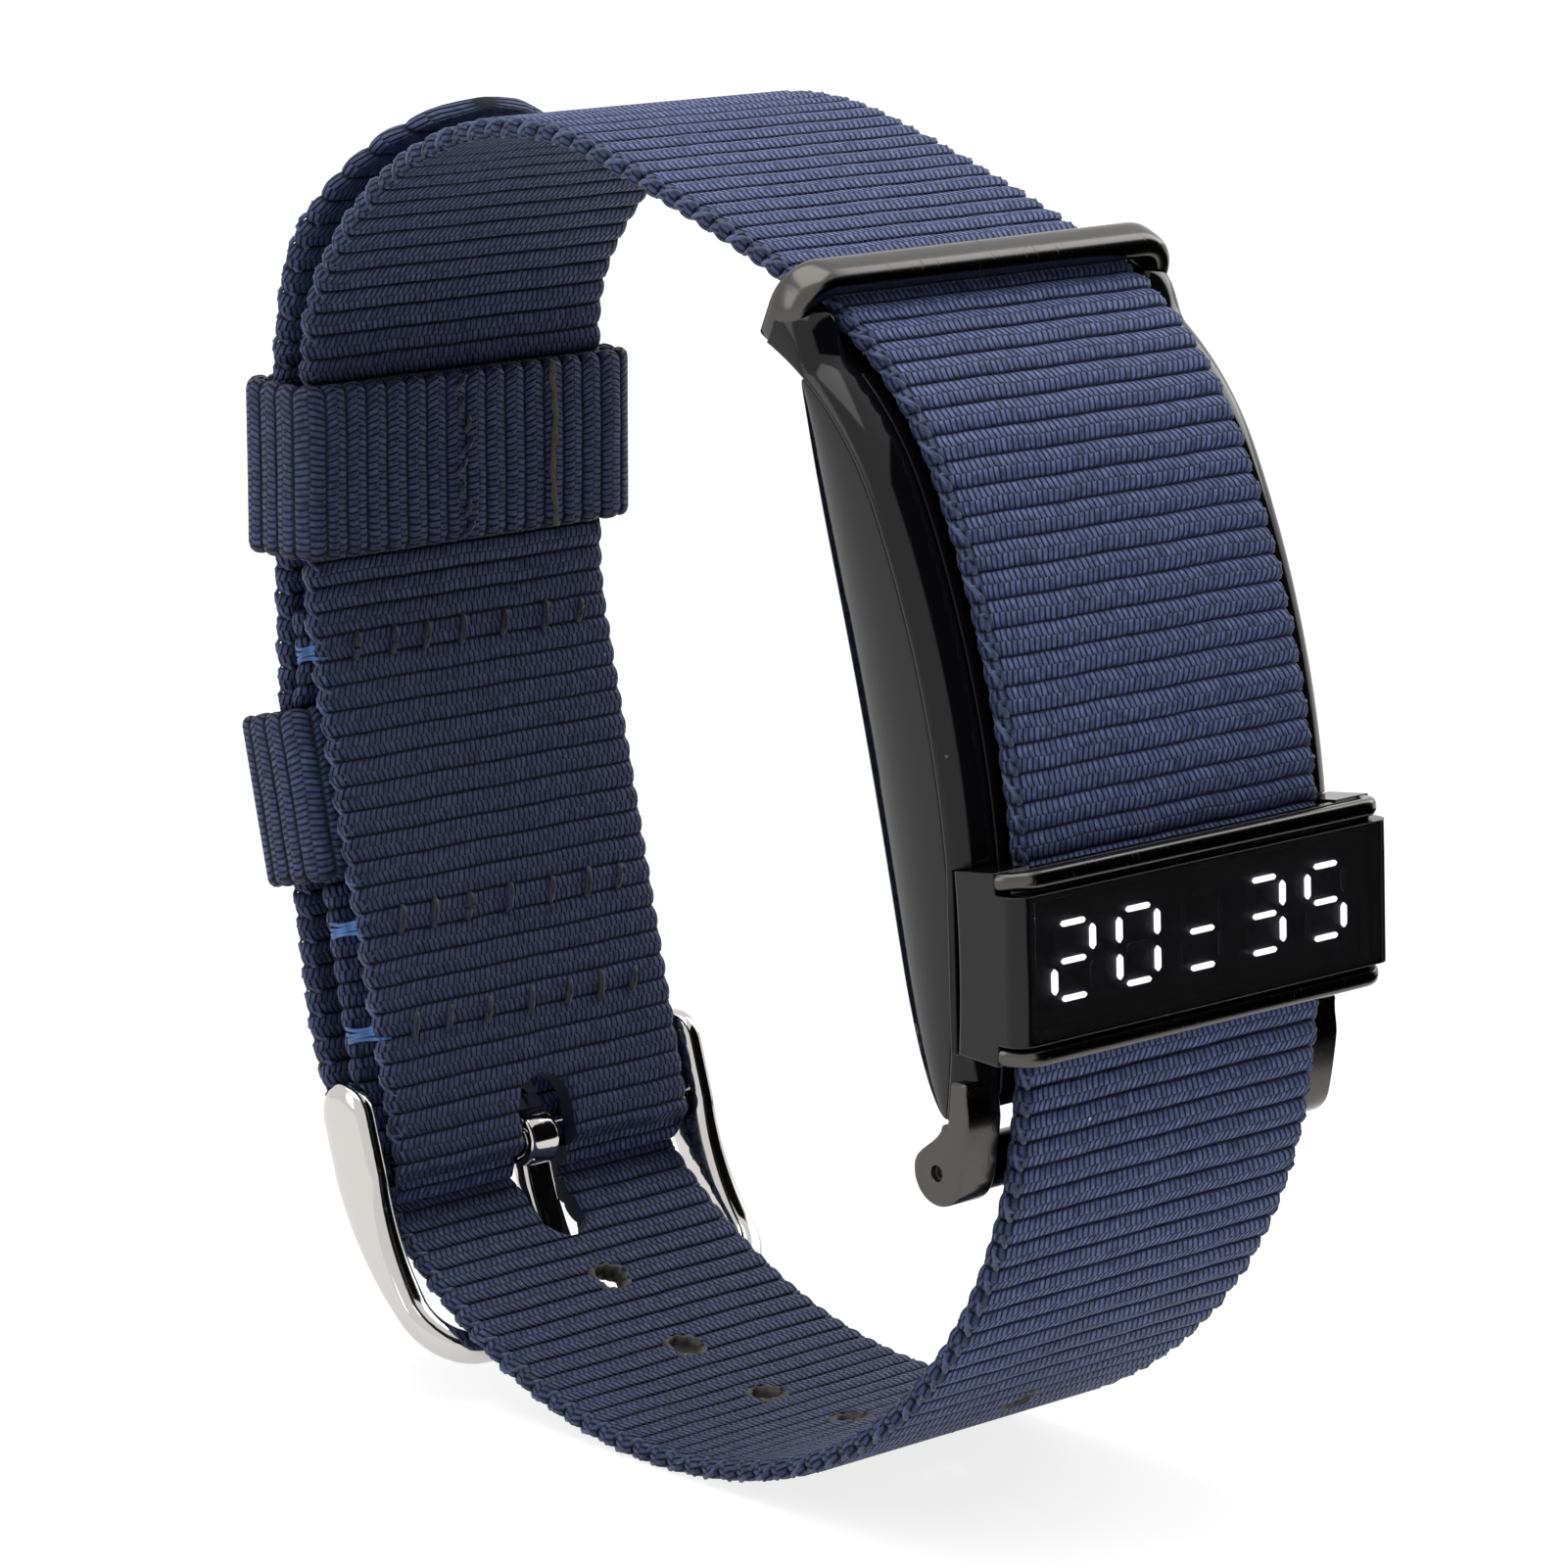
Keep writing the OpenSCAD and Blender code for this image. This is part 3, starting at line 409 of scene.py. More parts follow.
def strap_webbing():
    """The one length of webbing, with its holes, the tongue's slot and the round tip."""
    path = strap_path()
    steps = np.hypot(np.diff(path[:, 0]), np.diff(path[:, 1]))
    runs = np.concatenate([[0], np.cumsum(steps)])
    length = runs[-1]

    def frames(rows):
        y, z, h = (np.interp(rows, runs, path[:, k]) for k in range(3))
        h = np.radians(h)
        zero = np.zeros_like(h)
        across = np.stack([zero + 1, zero, zero], 1)
        return np.stack([zero, y, z], 1), across, np.stack([zero, np.sin(h), -np.cos(h)], 1)

    def half_w(rows):
        to_tip = np.clip(rows - (length - STRAP_W / 2), 0, STRAP_W / 2 - 0.05)
        return np.sqrt((STRAP_W / 2) ** 2 - to_tip**2)

    strap = webbing("strap_webbing", length, frames, half_w)
    cutters = []
    for s in HOLES_AT:
        point, _, out = ring_plane(at(s))
        cutters.append(turned_rod("hole", point, out, HOLE_D / 2, 3 * STRAP_T, 24))
    cutters.append(slot_cutter("tongue_hole", at(TONGUE_HOLE_AT), TONGUE_W + 0.8,
                               TONGUE_HOLE_RUN, 3.0))
    slot_run = 2 * PIN_OFFSET + 2.9
    spot = ahead([*PIN[:2], START_TURN], slot_run / 2 - PIN_D - STRAP_T, 0)
    cutters.append(slot_cutter("pin_slot", spot, TONGUE_W + 1.6, slot_run + 0.8, 6.4))
    return cut(strap, *cutters)


def slot_cutter(name, place, width, run, deep):
    """A closed slot with round ends, lying along the route."""
    r = width / 2
    outline = [(r * math.cos(a) * k, run / 2 * k - r * k + r * math.sin(a) * k)
               for k in (1, -1) for a in np.radians(np.arange(0, 181, 20))]
    points = [point_at(place, x, u, d) for d in (-deep / 2, deep / 2) for x, u in outline]
    return tube(name, 2, points, smooth=False)


def keeper(name, place, low, high):
    """A loop of webbing round the strap's layers: low and high bound its inner space."""
    point, along, out = ring_plane(place)
    r = KEEPER_T
    half_x = STRAP_W / 2 + KEEPER_GAP + KEEPER_T / 2
    lo, hi = low - KEEPER_T / 2, high + KEEPER_T / 2
    corners = [(half_x - r, hi - r, 0), (-half_x + r, hi - r, 90),
               (-half_x + r, lo + r, 180), (half_x - r, lo + r, 270)]
    line = []
    for cx, cw, a0 in corners:
        line += [(cx + r * math.cos(a), cw + r * math.sin(a), a)
                 for a in np.radians(np.arange(a0, a0 + 91, 7.5))]
    line = np.array([*line, (line[0][0], line[0][1], line[0][2] + 2 * math.pi)])
    runs = np.concatenate([[0], np.cumsum(np.hypot(np.diff(line[:, 0]), np.diff(line[:, 1])))])

    def frames(rows):
        x, w, a = (np.interp(rows, runs, line[:, k])[:, None] for k in range(3))
        centres = point + x * ACROSS - w * out
        return centres, np.repeat(along[None], len(rows), 0), np.cos(a) * ACROSS - np.sin(a) * out

    return webbing(name, runs[-1], frames, lambda rows: np.full(len(rows), KEEPER_W / 2),
                   KEEPER_T / 2, closed=True, steps=KEEPER_STEPS)


# ---- Edges, stitches and holes ----

THREAD_SIDES = 6
SELVEDGE_R = 0.14
SELVEDGE_INSET = 0.42
SELVEDGE_STEPS = 10
STITCH_R = 0.2
STITCHES = 7
STITCH_PITCH = 2.55
WRAP_R = 0.11
WRAP_STRANDS = 4
WRAP_PITCH = 0.24
RIM_STEPS = 28
RIM_HALF = 0.34


def thread(name, lines, radius):
    """Round threads along lists of points, as one mesh."""
    points, faces = [], []
    for line in lines:
        line = np.asarray(line, float)
        ahead_by = np.gradient(line, axis=0)
        ahead_by /= np.linalg.norm(ahead_by, axis=1)[:, None]
        side = np.cross(ahead_by, [0.31, 0.17, 0.93])
        side /= np.linalg.norm(side, axis=1)[:, None]
        up = np.cross(ahead_by, side)
        halves = np.full((len(line), 2), radius)
        halves[[0, -1]] *= 0.4
        base = len(points)
        points += rings(line, side, up, halves, 2, THREAD_SIDES).tolist()
        own = tube_faces(len(line), THREAD_SIDES, False)
        faces += [[base + v for v in face] for face in own]
    return outward(add_mesh(name, points, faces))


def selvedge(name, s_from, s_to):
    """The looped threads that lock both edges of the webbing, one turn to each rib."""
    lines = []
    count = round((s_to - s_from) / RIB_PITCH * SELVEDGE_STEPS)
    for side, way in ((-1, 1), (-1, -1), (1, 1), (1, -1)):
        line = []
        for k in range(count):
            turn = way * 2 * math.pi * k / SELVEDGE_STEPS + 0.8 * way
            s = s_from + k * RIB_PITCH / SELVEDGE_STEPS
            point, along, out = ring_plane(at(s))
            wave = 0.06 * math.sin(0.37 * k + side)
            to_tip = max(0, s - (STRAP_LEN - STRAP_W / 2))
            edge = math.sqrt((STRAP_W / 2) ** 2 - to_tip**2) - SELVEDGE_INSET
            point = point + along * 0.4 * math.sin(turn)
            point = point + side * ACROSS * (edge + (0.24 + wave) * math.cos(turn))
            line.append(point + out * (0.4 * math.sin(turn + 0.5) + 0.04 * math.sin(0.9 * k)))
        lines.append(line)
    return thread(name, lines, SELVEDGE_R)


def stitch_rows():
    """Dashes of sewing thread that sink between the ribs, on both faces of the layers."""
    lines = []
    for row, s in enumerate(STITCH_ROWS):
        reach = fold_off(s) + STRAP_T / 2
        for k in range(STITCHES):
            x = (k - STITCHES // 2) * STITCH_PITCH + 0.3 * math.sin(5 * k + row)
            lean = 0.8 + 0.15 * math.sin(3 * k)
            for base, side in ((-STRAP_T / 2, -1), (reach, 1)):
                line = []
                for t in np.linspace(-1, 1, 9):
                    lift = side * (0.02 - 0.3 * t**4)
                    line.append(point_at(at(s + lean * t), x + 0.25 * t, 0, base + lift))
                lines.append(line)
    return thread("sewing_thread", lines, STITCH_R)


def edge_wraps():
    """The bright thread that binds the two layers' edges at each row of stitches."""
    lines = []
    for s in STITCH_ROWS:
        depth = fold_off(s)
        for strand in range(WRAP_STRANDS):
            line = []
            for t in np.linspace(0, 1, 13):
                spread = WRAP_PITCH * (strand - (WRAP_STRANDS - 1) / 2)
                place = at(s + spread + 0.12 * math.sin(4 * t + strand))
                x = -(STRAP_W / 2 - 0.7 + 0.82 * math.sin(math.pi * t) ** 0.5)
                line.append(point_at(place, x, 0, -0.5 + (depth + 1.0) * t))
            lines.append(line)
    return thread("edge_wraps", lines, WRAP_R)


def hole_rims():
    """The melted lip round each adjustment hole, uneven as a hot punch leaves it."""
    pieces = []
    for i, s in enumerate(HOLES_AT, 1):
        point, along, out = ring_plane(at(s))
        centres, across, halves = [], [], []
        for k in range(RIM_STEPS):
            a = 2 * math.pi * k / RIM_STEPS
            ray = math.cos(a) * ACROSS + math.sin(a) * along
            r = HOLE_D / 2 + 0.02 + 0.07 * math.sin(3 * a + i) + 0.04 * math.sin(7 * a - i)
            centres.append(point + r * ray)
            across.append(ray)
            halves.append((RIM_HALF + 0.04 * math.sin(5 * k),
                           STRAP_T / 2 - 0.02 + 0.05 * math.sin(4 * k + i)))
        outs = [out] * RIM_STEPS
        pieces.append(sweep(f"rim_{i}", centres, across, outs, halves, 2.6, 10, closed=True))
    return joined("hole_rims", pieces)


# ---- Buckle ----

SIDE_GAP = 0.5
ARM_X = STRAP_W / 2 + SIDE_GAP + ARM_T / 2
BEND = 3.0
ARM_PAST = 3.2
BAR_CLEAR = 2 * LAYER_GAP
BAR_NOTCH = 0.5
TONGUE_TURN = -50.0
CURL_T = 0.75
FAR_BAR = off(FAR_BAR_AT, STRAP_T / 2 + BAR_CLEAR + FAR_BAR_D / 2)
ARM_ANGLE = at(FAR_BAR_AT)[2] - 360 + 15
ARM_START = ahead([*FAR_BAR[:2], ARM_ANGLE], BEND, 0)


def bow_to(start, target):
    """The turn and length of the arc from a place to a point."""
    dy, dz = target[0] - start[0], target[1] - start[1]
    turn = 2 * (math.degrees(math.atan2(dz, dy)) - start[2])
    return turn, math.hypot(dy, dz) / chord(turn)


def buckle_frame():
    """The bow: two curved arms that end in broad round heads, and the far bar that joins them."""
    turn, run = bow_to(ARM_START, PIN)
    total = run + ARM_PAST + ARM_DEPTH / 2
    arm = []
    for s in [*np.linspace(total, run + ARM_PAST, 9), *np.linspace(run + ARM_PAST, 0, 34)[1:]]:
        place = ahead(ARM_START, min(s, run), turn * min(s, run) / run)
        place = ahead(place, max(0, s - run), 0)
        round_in = math.sqrt(max(0.03, 1 - (max(0, s - run - ARM_PAST) / (ARM_DEPTH / 2)) ** 2))
        deep = FAR_BAR_D / 2 + (ARM_DEPTH - FAR_BAR_D) / 2 * min(1, s / run)
        arm.append((place, deep * round_in, ARM_T / 2 * round_in**0.5))
    centres, across, outs, halves = [], [], [], []
    for side in (-1, 1):
        rows = arm if side < 0 else arm[::-1]
        for place, deep, thick in rows:
            point, _, out = ring_plane(place)
            centres.append(point + [side * ARM_X, 0, 0])
            across.append(-side * ACROSS)
            outs.append(out)
            halves.append((thick, deep))
        if side < 0:
            point, along, out = ring_plane([*FAR_BAR[:2], ARM_ANGLE])
            for corner in (-1, 1):
                for a in np.radians(np.arange(10, 91, 10) if corner < 0 else np.arange(0, 81, 10)):
                    lean = a if corner < 0 else math.pi / 2 + a
                    x = corner * (ARM_X - BEND) - BEND * math.cos(lean)
                    centres.append(point + [x, 0, 0] + (BEND - BEND * math.sin(lean)) * along)
                    across.append(math.cos(lean) * ACROSS + math.sin(lean) * along)
                    outs.append(out)
                    halves.append((FAR_BAR_D / 2, FAR_BAR_D / 2))
    return sweep("buckle_bow", centres, across, outs, halves, 2.7, 28)


def buckle_tongue():
    """A flat tongue curled round the pin."""
    rest = off(FAR_BAR_AT, STRAP_T / 2 + BAR_CLEAR + FAR_BAR_D - BAR_NOTCH + TONGUE_T / 2 + RUN_FIT)
    line = math.degrees(math.atan2(rest[1] - PIN[1], rest[0] - PIN[0]))
    start = [*PIN[:2], line - TONGUE_TURN / 2]
    _, run = bow_to(start, rest)
    centres, outs, halves = [], [], []
    for s in np.linspace(0.95, run + TONGUE_T / 2, 40):
        point, _, out = ring_plane(ahead(start, s, TONGUE_TURN * s / run))
        centres.append(point)
        outs.append(out)
        past = max(0, s - run) / (TONGUE_T / 2)
        thin = math.sqrt(max(0.04, 1 - past**2))
        halves.append((TONGUE_W / 2 * (1 - 0.15 * past), TONGUE_T / 2 * thin))
    blade = sweep("blade", centres, [ACROSS] * len(centres), outs, halves, 4.5, 28)
    reach = PIN_D / 2 + RUN_FIT + CURL_T / 2
    turns = np.arange(0, 2 * math.pi, math.pi / 20)
    rays = [np.array([0, math.cos(a), math.sin(a)]) for a in turns]
    centres = [np.array([0, *PIN[:2]]) + reach * ray for ray in rays]
    halves = [(TONGUE_W / 2, CURL_T / 2 - 0.005)] * len(rays)
    curl = sweep("curl", centres, [ACROSS] * len(rays), rays, halves, 4.5, 24, closed=True)
    return joined("tongue_blade", [blade, curl])


# ---- Sensor case ----

RIM_OUT = -STRAP_T / 2 - STRAP_GAP - COVER_T
COVER_A, COVER_B = CASE_A + 1.2, CASE_B - 1.2
CAVITY_W = STRAP_W - 1.6
LEDGE = 0.9
CORNER_POWER = 6
DOME_POWER = 2.4
CASE_CREASE = 38
SEAT_DEPTH = 0.6
CONTACT_X = 2.5
CONTACT_RUN = -9.9


def module_frame():
    """The case's middle, and its directions along and towards the wrist."""
    point, along, out = ring_plane(MODULE)
    return point, along, -out


def pillow(name, a, b, width, front_out, deep, rows=72, cols=48):
    """The case's pillow form: its front follows the strap and its back is a shallow dome."""
    origin, along, inward = module_frame()
    u = -np.cos(np.pi * np.arange(rows + 1) / rows)
    v = -np.cos(np.pi * np.arange(cols + 1) / cols)
    front = []
    for r in u:
        point, _, _ = ring_plane(off((a + b) / 2 + r * (b - a) / 2, front_out))
        front.append(((point - origin) @ along, (point - origin) @ inward))
    front = np.array(front)

    def swell(f):
        return np.clip(1 - np.abs(f) ** CORNER_POWER, 0, None) ** (1 / DOME_POWER)

    rise = np.maximum(0, deep - front[:, 1])[:, None] * swell(u)[:, None] * swell(v)[None]
    back = front[:, 1, None] + 0.01 + rise
    points = []
    for (run, face), deeps in zip(front, back):
        ring = [*zip(deeps, v), (face, v[-1]), (face, v[0])]
        points += [origin + along * run + inward * w + [x * width / 2, 0, 0] for w, x in ring]
    return tube(name, rows + 1, points)


def case_shell():
    """The glossy shell, hollow, with the sensor window's seat and the contacts' holes."""
    shell = pillow("case_shell", CASE_A, CASE_B, MODULE_W, RIM_OUT, CASE_DEPTH)
    hollow = pillow("hollow", COVER_A + 1.4, COVER_B - 1.4, CAVITY_W, RIM_OUT + 0.5,
                    CASE_DEPTH - CASE_WALL, 40, 30)
    origin, along, inward = module_frame()
    seat = origin + inward * (CASE_DEPTH - SEAT_DEPTH + 5)
    hole = origin + inward * (CASE_DEPTH - CASE_WALL + 3)
    cutters = [hollow, turned_rod("seat", seat, inward, WINDOW_D / 2 + RUN_FIT, 10, 96),
               turned_rod("sight", hole, inward, WINDOW_D / 2 - LEDGE, 8, 96)]
    for side in (-1, 1):
        spot = origin + along * CONTACT_RUN + inward * (CASE_DEPTH - 1) + [side * CONTACT_X, 0, 0]
        cutters.append(turned_rod("contact_hole", spot, inward, CONTACT_D / 2 + RUN_FIT, 6, 40))
    shell = cut(shell, *cutters)
    shell.data.set_sharp_from_angle(angle=math.radians(CASE_CREASE))
    return shell


# ---- Frame round the strap ----

STRAP_TOP = STRAP_T / 2 + STRAP_GAP
TOP_BAR_T = 1.3
TOP_BAR_RUN = 2.2
LEG_T = 1.6
TOP_BAR_AT = CASE_A - 3.1
BAR_A, BAR_B = TOP_BAR_AT - TOP_BAR_RUN / 2, TOP_BAR_AT + TOP_BAR_RUN / 2
BAR_OUT = STRAP_TOP + TOP_BAR_T
RAIL_W = 2.25
RAIL_OUT = -STRAP_TOP
RAIL_ROUND = (1.9, 1.1)
RAIL_CREASE = 40
FRAME_LOW = RIM_OUT + 0.06
DISPLAY_RUN = 8.8
LOW_BAR_D = 2.6
LOW_BAR_AT = CASE_B + 3
LUG_R = LOW_BAR_D / 2 + 0.3
LUG_OFF = -STRAP_TOP - LOW_BAR_D / 2
RIM_HALVES = (0.44, 0.42)


def ease(t):
    """A smooth step from 0 to 1."""
    t = min(1, max(0, t))
    return t * t * (3 - 2 * t)


def rail(name, side):
    """A lacquered rail that rises into the top bar's end and dips under the display."""
    display_a, display_b = DISPLAY_AT - DISPLAY_RUN / 2, DISPLAY_AT + DISPLAY_RUN / 2
    stations = [*np.arange(BAR_A + 1.0, display_a, 0.4), display_a - 0.06, display_a - 0.05,
                display_b + 0.05, display_b + 0.06, *np.linspace(display_b + 0.3, CASE_B, 5)]
    in_x, out_x = MODULE_W / 2 - RAIL_W, MODULE_W / 2
    points = []
    for s in stations:
        dip = display_a - 0.055 < s < display_b + 0.055
        top = RIM_OUT + 0.6 if dip else RAIL_OUT + 1.3 * ease((BAR_B + 2.4 - s) / 2.8)
        ry = min(RAIL_ROUND[1], top - FRAME_LOW - 0.04)
        arc = [(out_x + RAIL_ROUND[0] * (math.sin(a) - 1), top - ry + ry * math.cos(a))
               for a in np.radians(np.arange(0, 91, 7.5))]
        outline = [(in_x, FRAME_LOW), (in_x, top - 0.2), (in_x + 0.06, top - 0.06),
                   (in_x + 0.2, top), *arc, (out_x, FRAME_LOW)]
        points += [point_at(at(s), side * x, 0, w) for x, w in outline]
    made = tube(name, len(stations), points)
    made.data.set_sharp_from_angle(angle=math.radians(RAIL_CREASE))
    return made


def arch(place, x_leg, low, mid, bend, leg_rows):
    """A path over the strap: up one leg, round a corner, across and down again.

    Gives each row's centre, its directions across and outwards, and the angle turned so far.
    """
    _, along, out = ring_plane(place)
    path = [(-x_leg, w, 0) for w in np.linspace(low, mid - bend, leg_rows)]
    path += [(-x_leg + bend * (1 - math.cos(a)), mid - bend + bend * math.sin(a), a)
             for a in np.radians(np.arange(9, 91, 9))]
    half = path[::-1]
    path += [(x, mid, math.pi / 2)
             for x in np.linspace(-x_leg + bend + 0.8, x_leg - bend - 0.8, 14)]
    path += [(-x, w, math.pi - a) for x, w, a in half]
    centres = [point_at(place, x, 0, w) for x, w, _ in path]
    outs = [-math.cos(a) * ACROSS + math.sin(a) * out for _, _, a in path]
    return centres, [along] * len(path), outs, [a for _, _, a in path]


def rails():
    """Both rails, as one piece."""
    return joined("frame_rails", [rail(f"rail_{side}", side) for side in (-1, 1)])


def top_loop():
    """The dark metal loop over the strap: two legs, round corners and a flattened bar."""
    leg, bar = LEG_T / 2, TOP_BAR_T / 2
    *path, angles = arch(at(TOP_BAR_AT), MODULE_W / 2 - leg, RIM_OUT + 0.2, BAR_OUT - bar, 1.5, 8)
    halves = [(TOP_BAR_RUN / 2, leg - (leg - bar) * math.sin(a)) for a in angles]
    return sweep("top_loop", *path, halves, 2.8, 36)


def recess():
    """The black web under the strap between the loop's legs."""
    half = MODULE_W / 2 - RAIL_W + 0.1
    points = []
    low, high = RIM_OUT + 0.2, RAIL_OUT - 0.25
    stations = np.linspace(BAR_A + 0.5, COVER_A + 0.4, 8)
    for s in stations:
        points += [point_at(at(s), x, 0, w)
                   for x, w in ((-half, low), (-half, high), (half, high), (half, low))]
    return tube("frame_web", len(stations), points, smooth=False)


def display_rims():
    """The two metal rims that bend round the display's ends and run down its sides."""
    pieces = []
    for end in (-1, 1):
        place = at(DISPLAY_AT + end * (DISPLAY_RUN - 0.9) / 2)
        *path, angles = arch(place, MODULE_W / 2 - RIM_HALVES[1], RIM_OUT + 0.9, STRAP_TOP + 1.52,
                             1.3, 6)
        pieces.append(sweep(f"rim_{end}", *path, [RIM_HALVES] * len(angles), 2.6, 24))
    return joined("display_rims", pieces)


def side_plate(name, outline, low_x, high_x, soften):
    """A plate with an outline in the ring's plane and softened edges."""
    points = [(x, y, z) for x in (low_x, high_x) for y, z in outline]
    plate = tube(name, 2, points)
    edge = plate.modifiers.new("edge", "BEVEL")
    edge.width = soften * MM
    edge.segments = 4
    edge.limit_method = "ANGLE"
    edge.angle_limit = math.radians(50)
    plate.modifiers.new("flat_faces", "WEIGHTED_NORMAL")
    apply_modifiers(plate)
    return plate


def lugs():
    """The rounded ends that carry the lower bar behind the strap."""
    outline = [off(s, RAIL_OUT + 0.3 * ease((s - CASE_B + 1.6) / 1.6))[:2]
               for s in np.linspace(CASE_B - 2, LOW_BAR_AT, 12)]
    point, along, out = ring_plane(off(LOW_BAR_AT, LUG_OFF))
    for a in np.radians(np.arange(9, 180, 9)):
        spot = point + LUG_R * (math.cos(a) * out + math.sin(a) * along)
        outline.append(spot[1:])
    outline += [off(s, LUG_OFF - LUG_R + 1.5 * ease((LOW_BAR_AT - s) / 2.6))[:2]
                for s in np.linspace(LOW_BAR_AT, CASE_B + 0.35, 8)]
    outline += [off(CASE_B + 0.35, FRAME_LOW)[:2], off(CASE_B - 2, FRAME_LOW)[:2]]
    pieces = []
    for side in (-1, 1):
        low_x, high_x = sorted((side * (MODULE_W / 2 - RAIL_W), side * MODULE_W / 2))
        plate = side_plate(f"lug_{side}", outline, low_x, high_x, 0.45)
        eye = turned_rod("eye", point + [side * MODULE_W / 2, 0, 0], [1, 0, 0], 0.4, 0.7, 24)
        pieces.append(cut(plate, eye))
    return joined("frame_lugs", pieces)


# ---- Digits ----

HOUSE_FLOOR = 0.45
PANEL_T = 0.4
GLASS_W = MODULE_W - 2 * 0.8
DIGIT_H = 3.5
DIGIT_W = 0.71 * DIGIT_H
DIGIT_PITCH = (GLASS_W - DIGIT_W - 0.13 * DIGIT_H) / 4 - 0.9
SEGMENT_T = 0.1
# A standing and a lying segment: half length, half width and the length of its point.
STANDING = (0.6, 0.17, 0.17)
LYING = (0.78, 0.13, 0.13)
# Which segments of each digit are lit, and each segment's place in it and whether it stands.
LIT = ("1101101", "1111110", "0001001", "1111001", "1011011")
SEGMENTS = ((0, -1, 0), (1, -0.5, 1), (1, 0.5, 1), (0, 1, 0), (-1, 0.5, 1), (-1, -0.5, 1),
            (0, 0, 0))


def digit_segments():
    """The lit segments, pointed at their ends, and the faint unlit ones beside them."""
    panel = off(DISPLAY_AT, STRAP_TOP + HOUSE_FLOOR + PANEL_T + 0.02)
    found = {"1": [], "0": []}
    for d, row in enumerate(LIT):
        for state, (mx, my, stands) in zip(row, SEGMENTS):
            points = []
            half, h, tip = STANDING if stands else LYING
            shape = [(-half, 0), (-half + tip, -h), (half - tip, -h), (half, 0), (half - tip, h),
                     (-half + tip, h)]
            for lift in (0, SEGMENT_T):
                for a, b in shape:
                    x, y = (b, a) if stands else (a, b)
                    x += (d - 2) * DIGIT_PITCH + mx * DIGIT_W / 2
                    y += my * DIGIT_H / 2
                    points.append(point_at(panel, x, y, lift))
            found[state].append(tube("segment", 2, points, smooth=False))
    return joined("digits_lit", found["1"]), joined("digits_unlit", found["0"])


# ---- Materials ----

# The share by which faces marked as inner side are darkened in the webbing colour: painted shade.
INNER_PAINTED_SHADE = 0.47
BLACK = (0.004, 0.004, 0.005, 1)
WHITE = (1, 1, 1, 1)
LINT = (0.6, 0.62, 0.66, 1)
DUST = (0.12, 0.12, 0.13, 1)


def fill(node, values):
    """Sets a node's inputs by name, with underscores for spaces."""
    for key, value in values.items():
        node.inputs[key.replace("_", " ")].default_value = value


class Wires:
    """Short calls for placing and joining nodes in one tree."""

    def __init__(self, tree):
        self.tree = tree

    def node(self, kind, **values):
        """A node, given its properties and its inputs by name."""
        made = self.tree.nodes.new(kind)
        for key in [key for key in values if key in made.bl_rna.properties]:
            setattr(made, key, values.pop(key))
        fill(made, values)
        return made

    def put(self, value, socket):
        """Joins a socket to another, or gives it a plain value."""
        if isinstance(value, bpy.types.NodeSocket):
            self.tree.links.new(value, socket)
        else:
            socket.default_value = value

    def math(self, operation, a, b=0.0):
        """One sum over two values."""
        made = self.node("ShaderNodeMath", operation=operation)
        self.put(a, made.inputs[0])
        self.put(b, made.inputs[1])
        return made.outputs[0]

    def plus(self, a, b):
        return self.math("ADD", a, b)

    def less(self, a, b):
        return self.math("SUBTRACT", a, b)

    def times(self, a, b):
        return self.math("MULTIPLY", a, b)

    def place(self):
        """The object's own coordinates."""
        return self.node("ShaderNodeTexCoord").outputs["Object"]

    def mix(self, amount, a, b):
        """A colour between two others."""
        made = self.node("ShaderNodeMix", data_type="RGBA")
        self.put(amount, made.inputs["Factor"])
        self.put(a, made.inputs["A"])
        self.put(b, made.inputs["B"])
        return made.outputs["Result"]

    def noise(self, vector, scale, detail):
        """Noise from 0 to 1."""
        made = self.node("ShaderNodeTexNoise", Scale=scale, Detail=detail)
        self.put(vector, made.inputs["Vector"])
        return made.outputs["Fac"]

    def ramp(self, value, low, high):
        """0 at the low value and 1 at the high one, clamped."""
        made = self.node("ShaderNodeMapRange", From_Min=low, From_Max=high)
        self.put(value, made.inputs["Value"])
        return made.outputs["Result"]


def group(name, inputs, outputs):
    """A shader group's wires, inputs and outputs: sockets named Color carry colours."""
    tree = bpy.data.node_groups.new(name, "ShaderNodeTree")
    for way, keys in (("INPUT", inputs), ("OUTPUT", outputs)):
        for key in keys:
            kind = "NodeSocketColor" if key.endswith("Color") else "NodeSocketFloat"
            tree.interface.new_socket(key, in_out=way, socket_type=kind)
    given, out = (tree.nodes.new(kind) for kind in ("NodeGroupInput", "NodeGroupOutput"))
    return Wires(tree), given.outputs, out.inputs


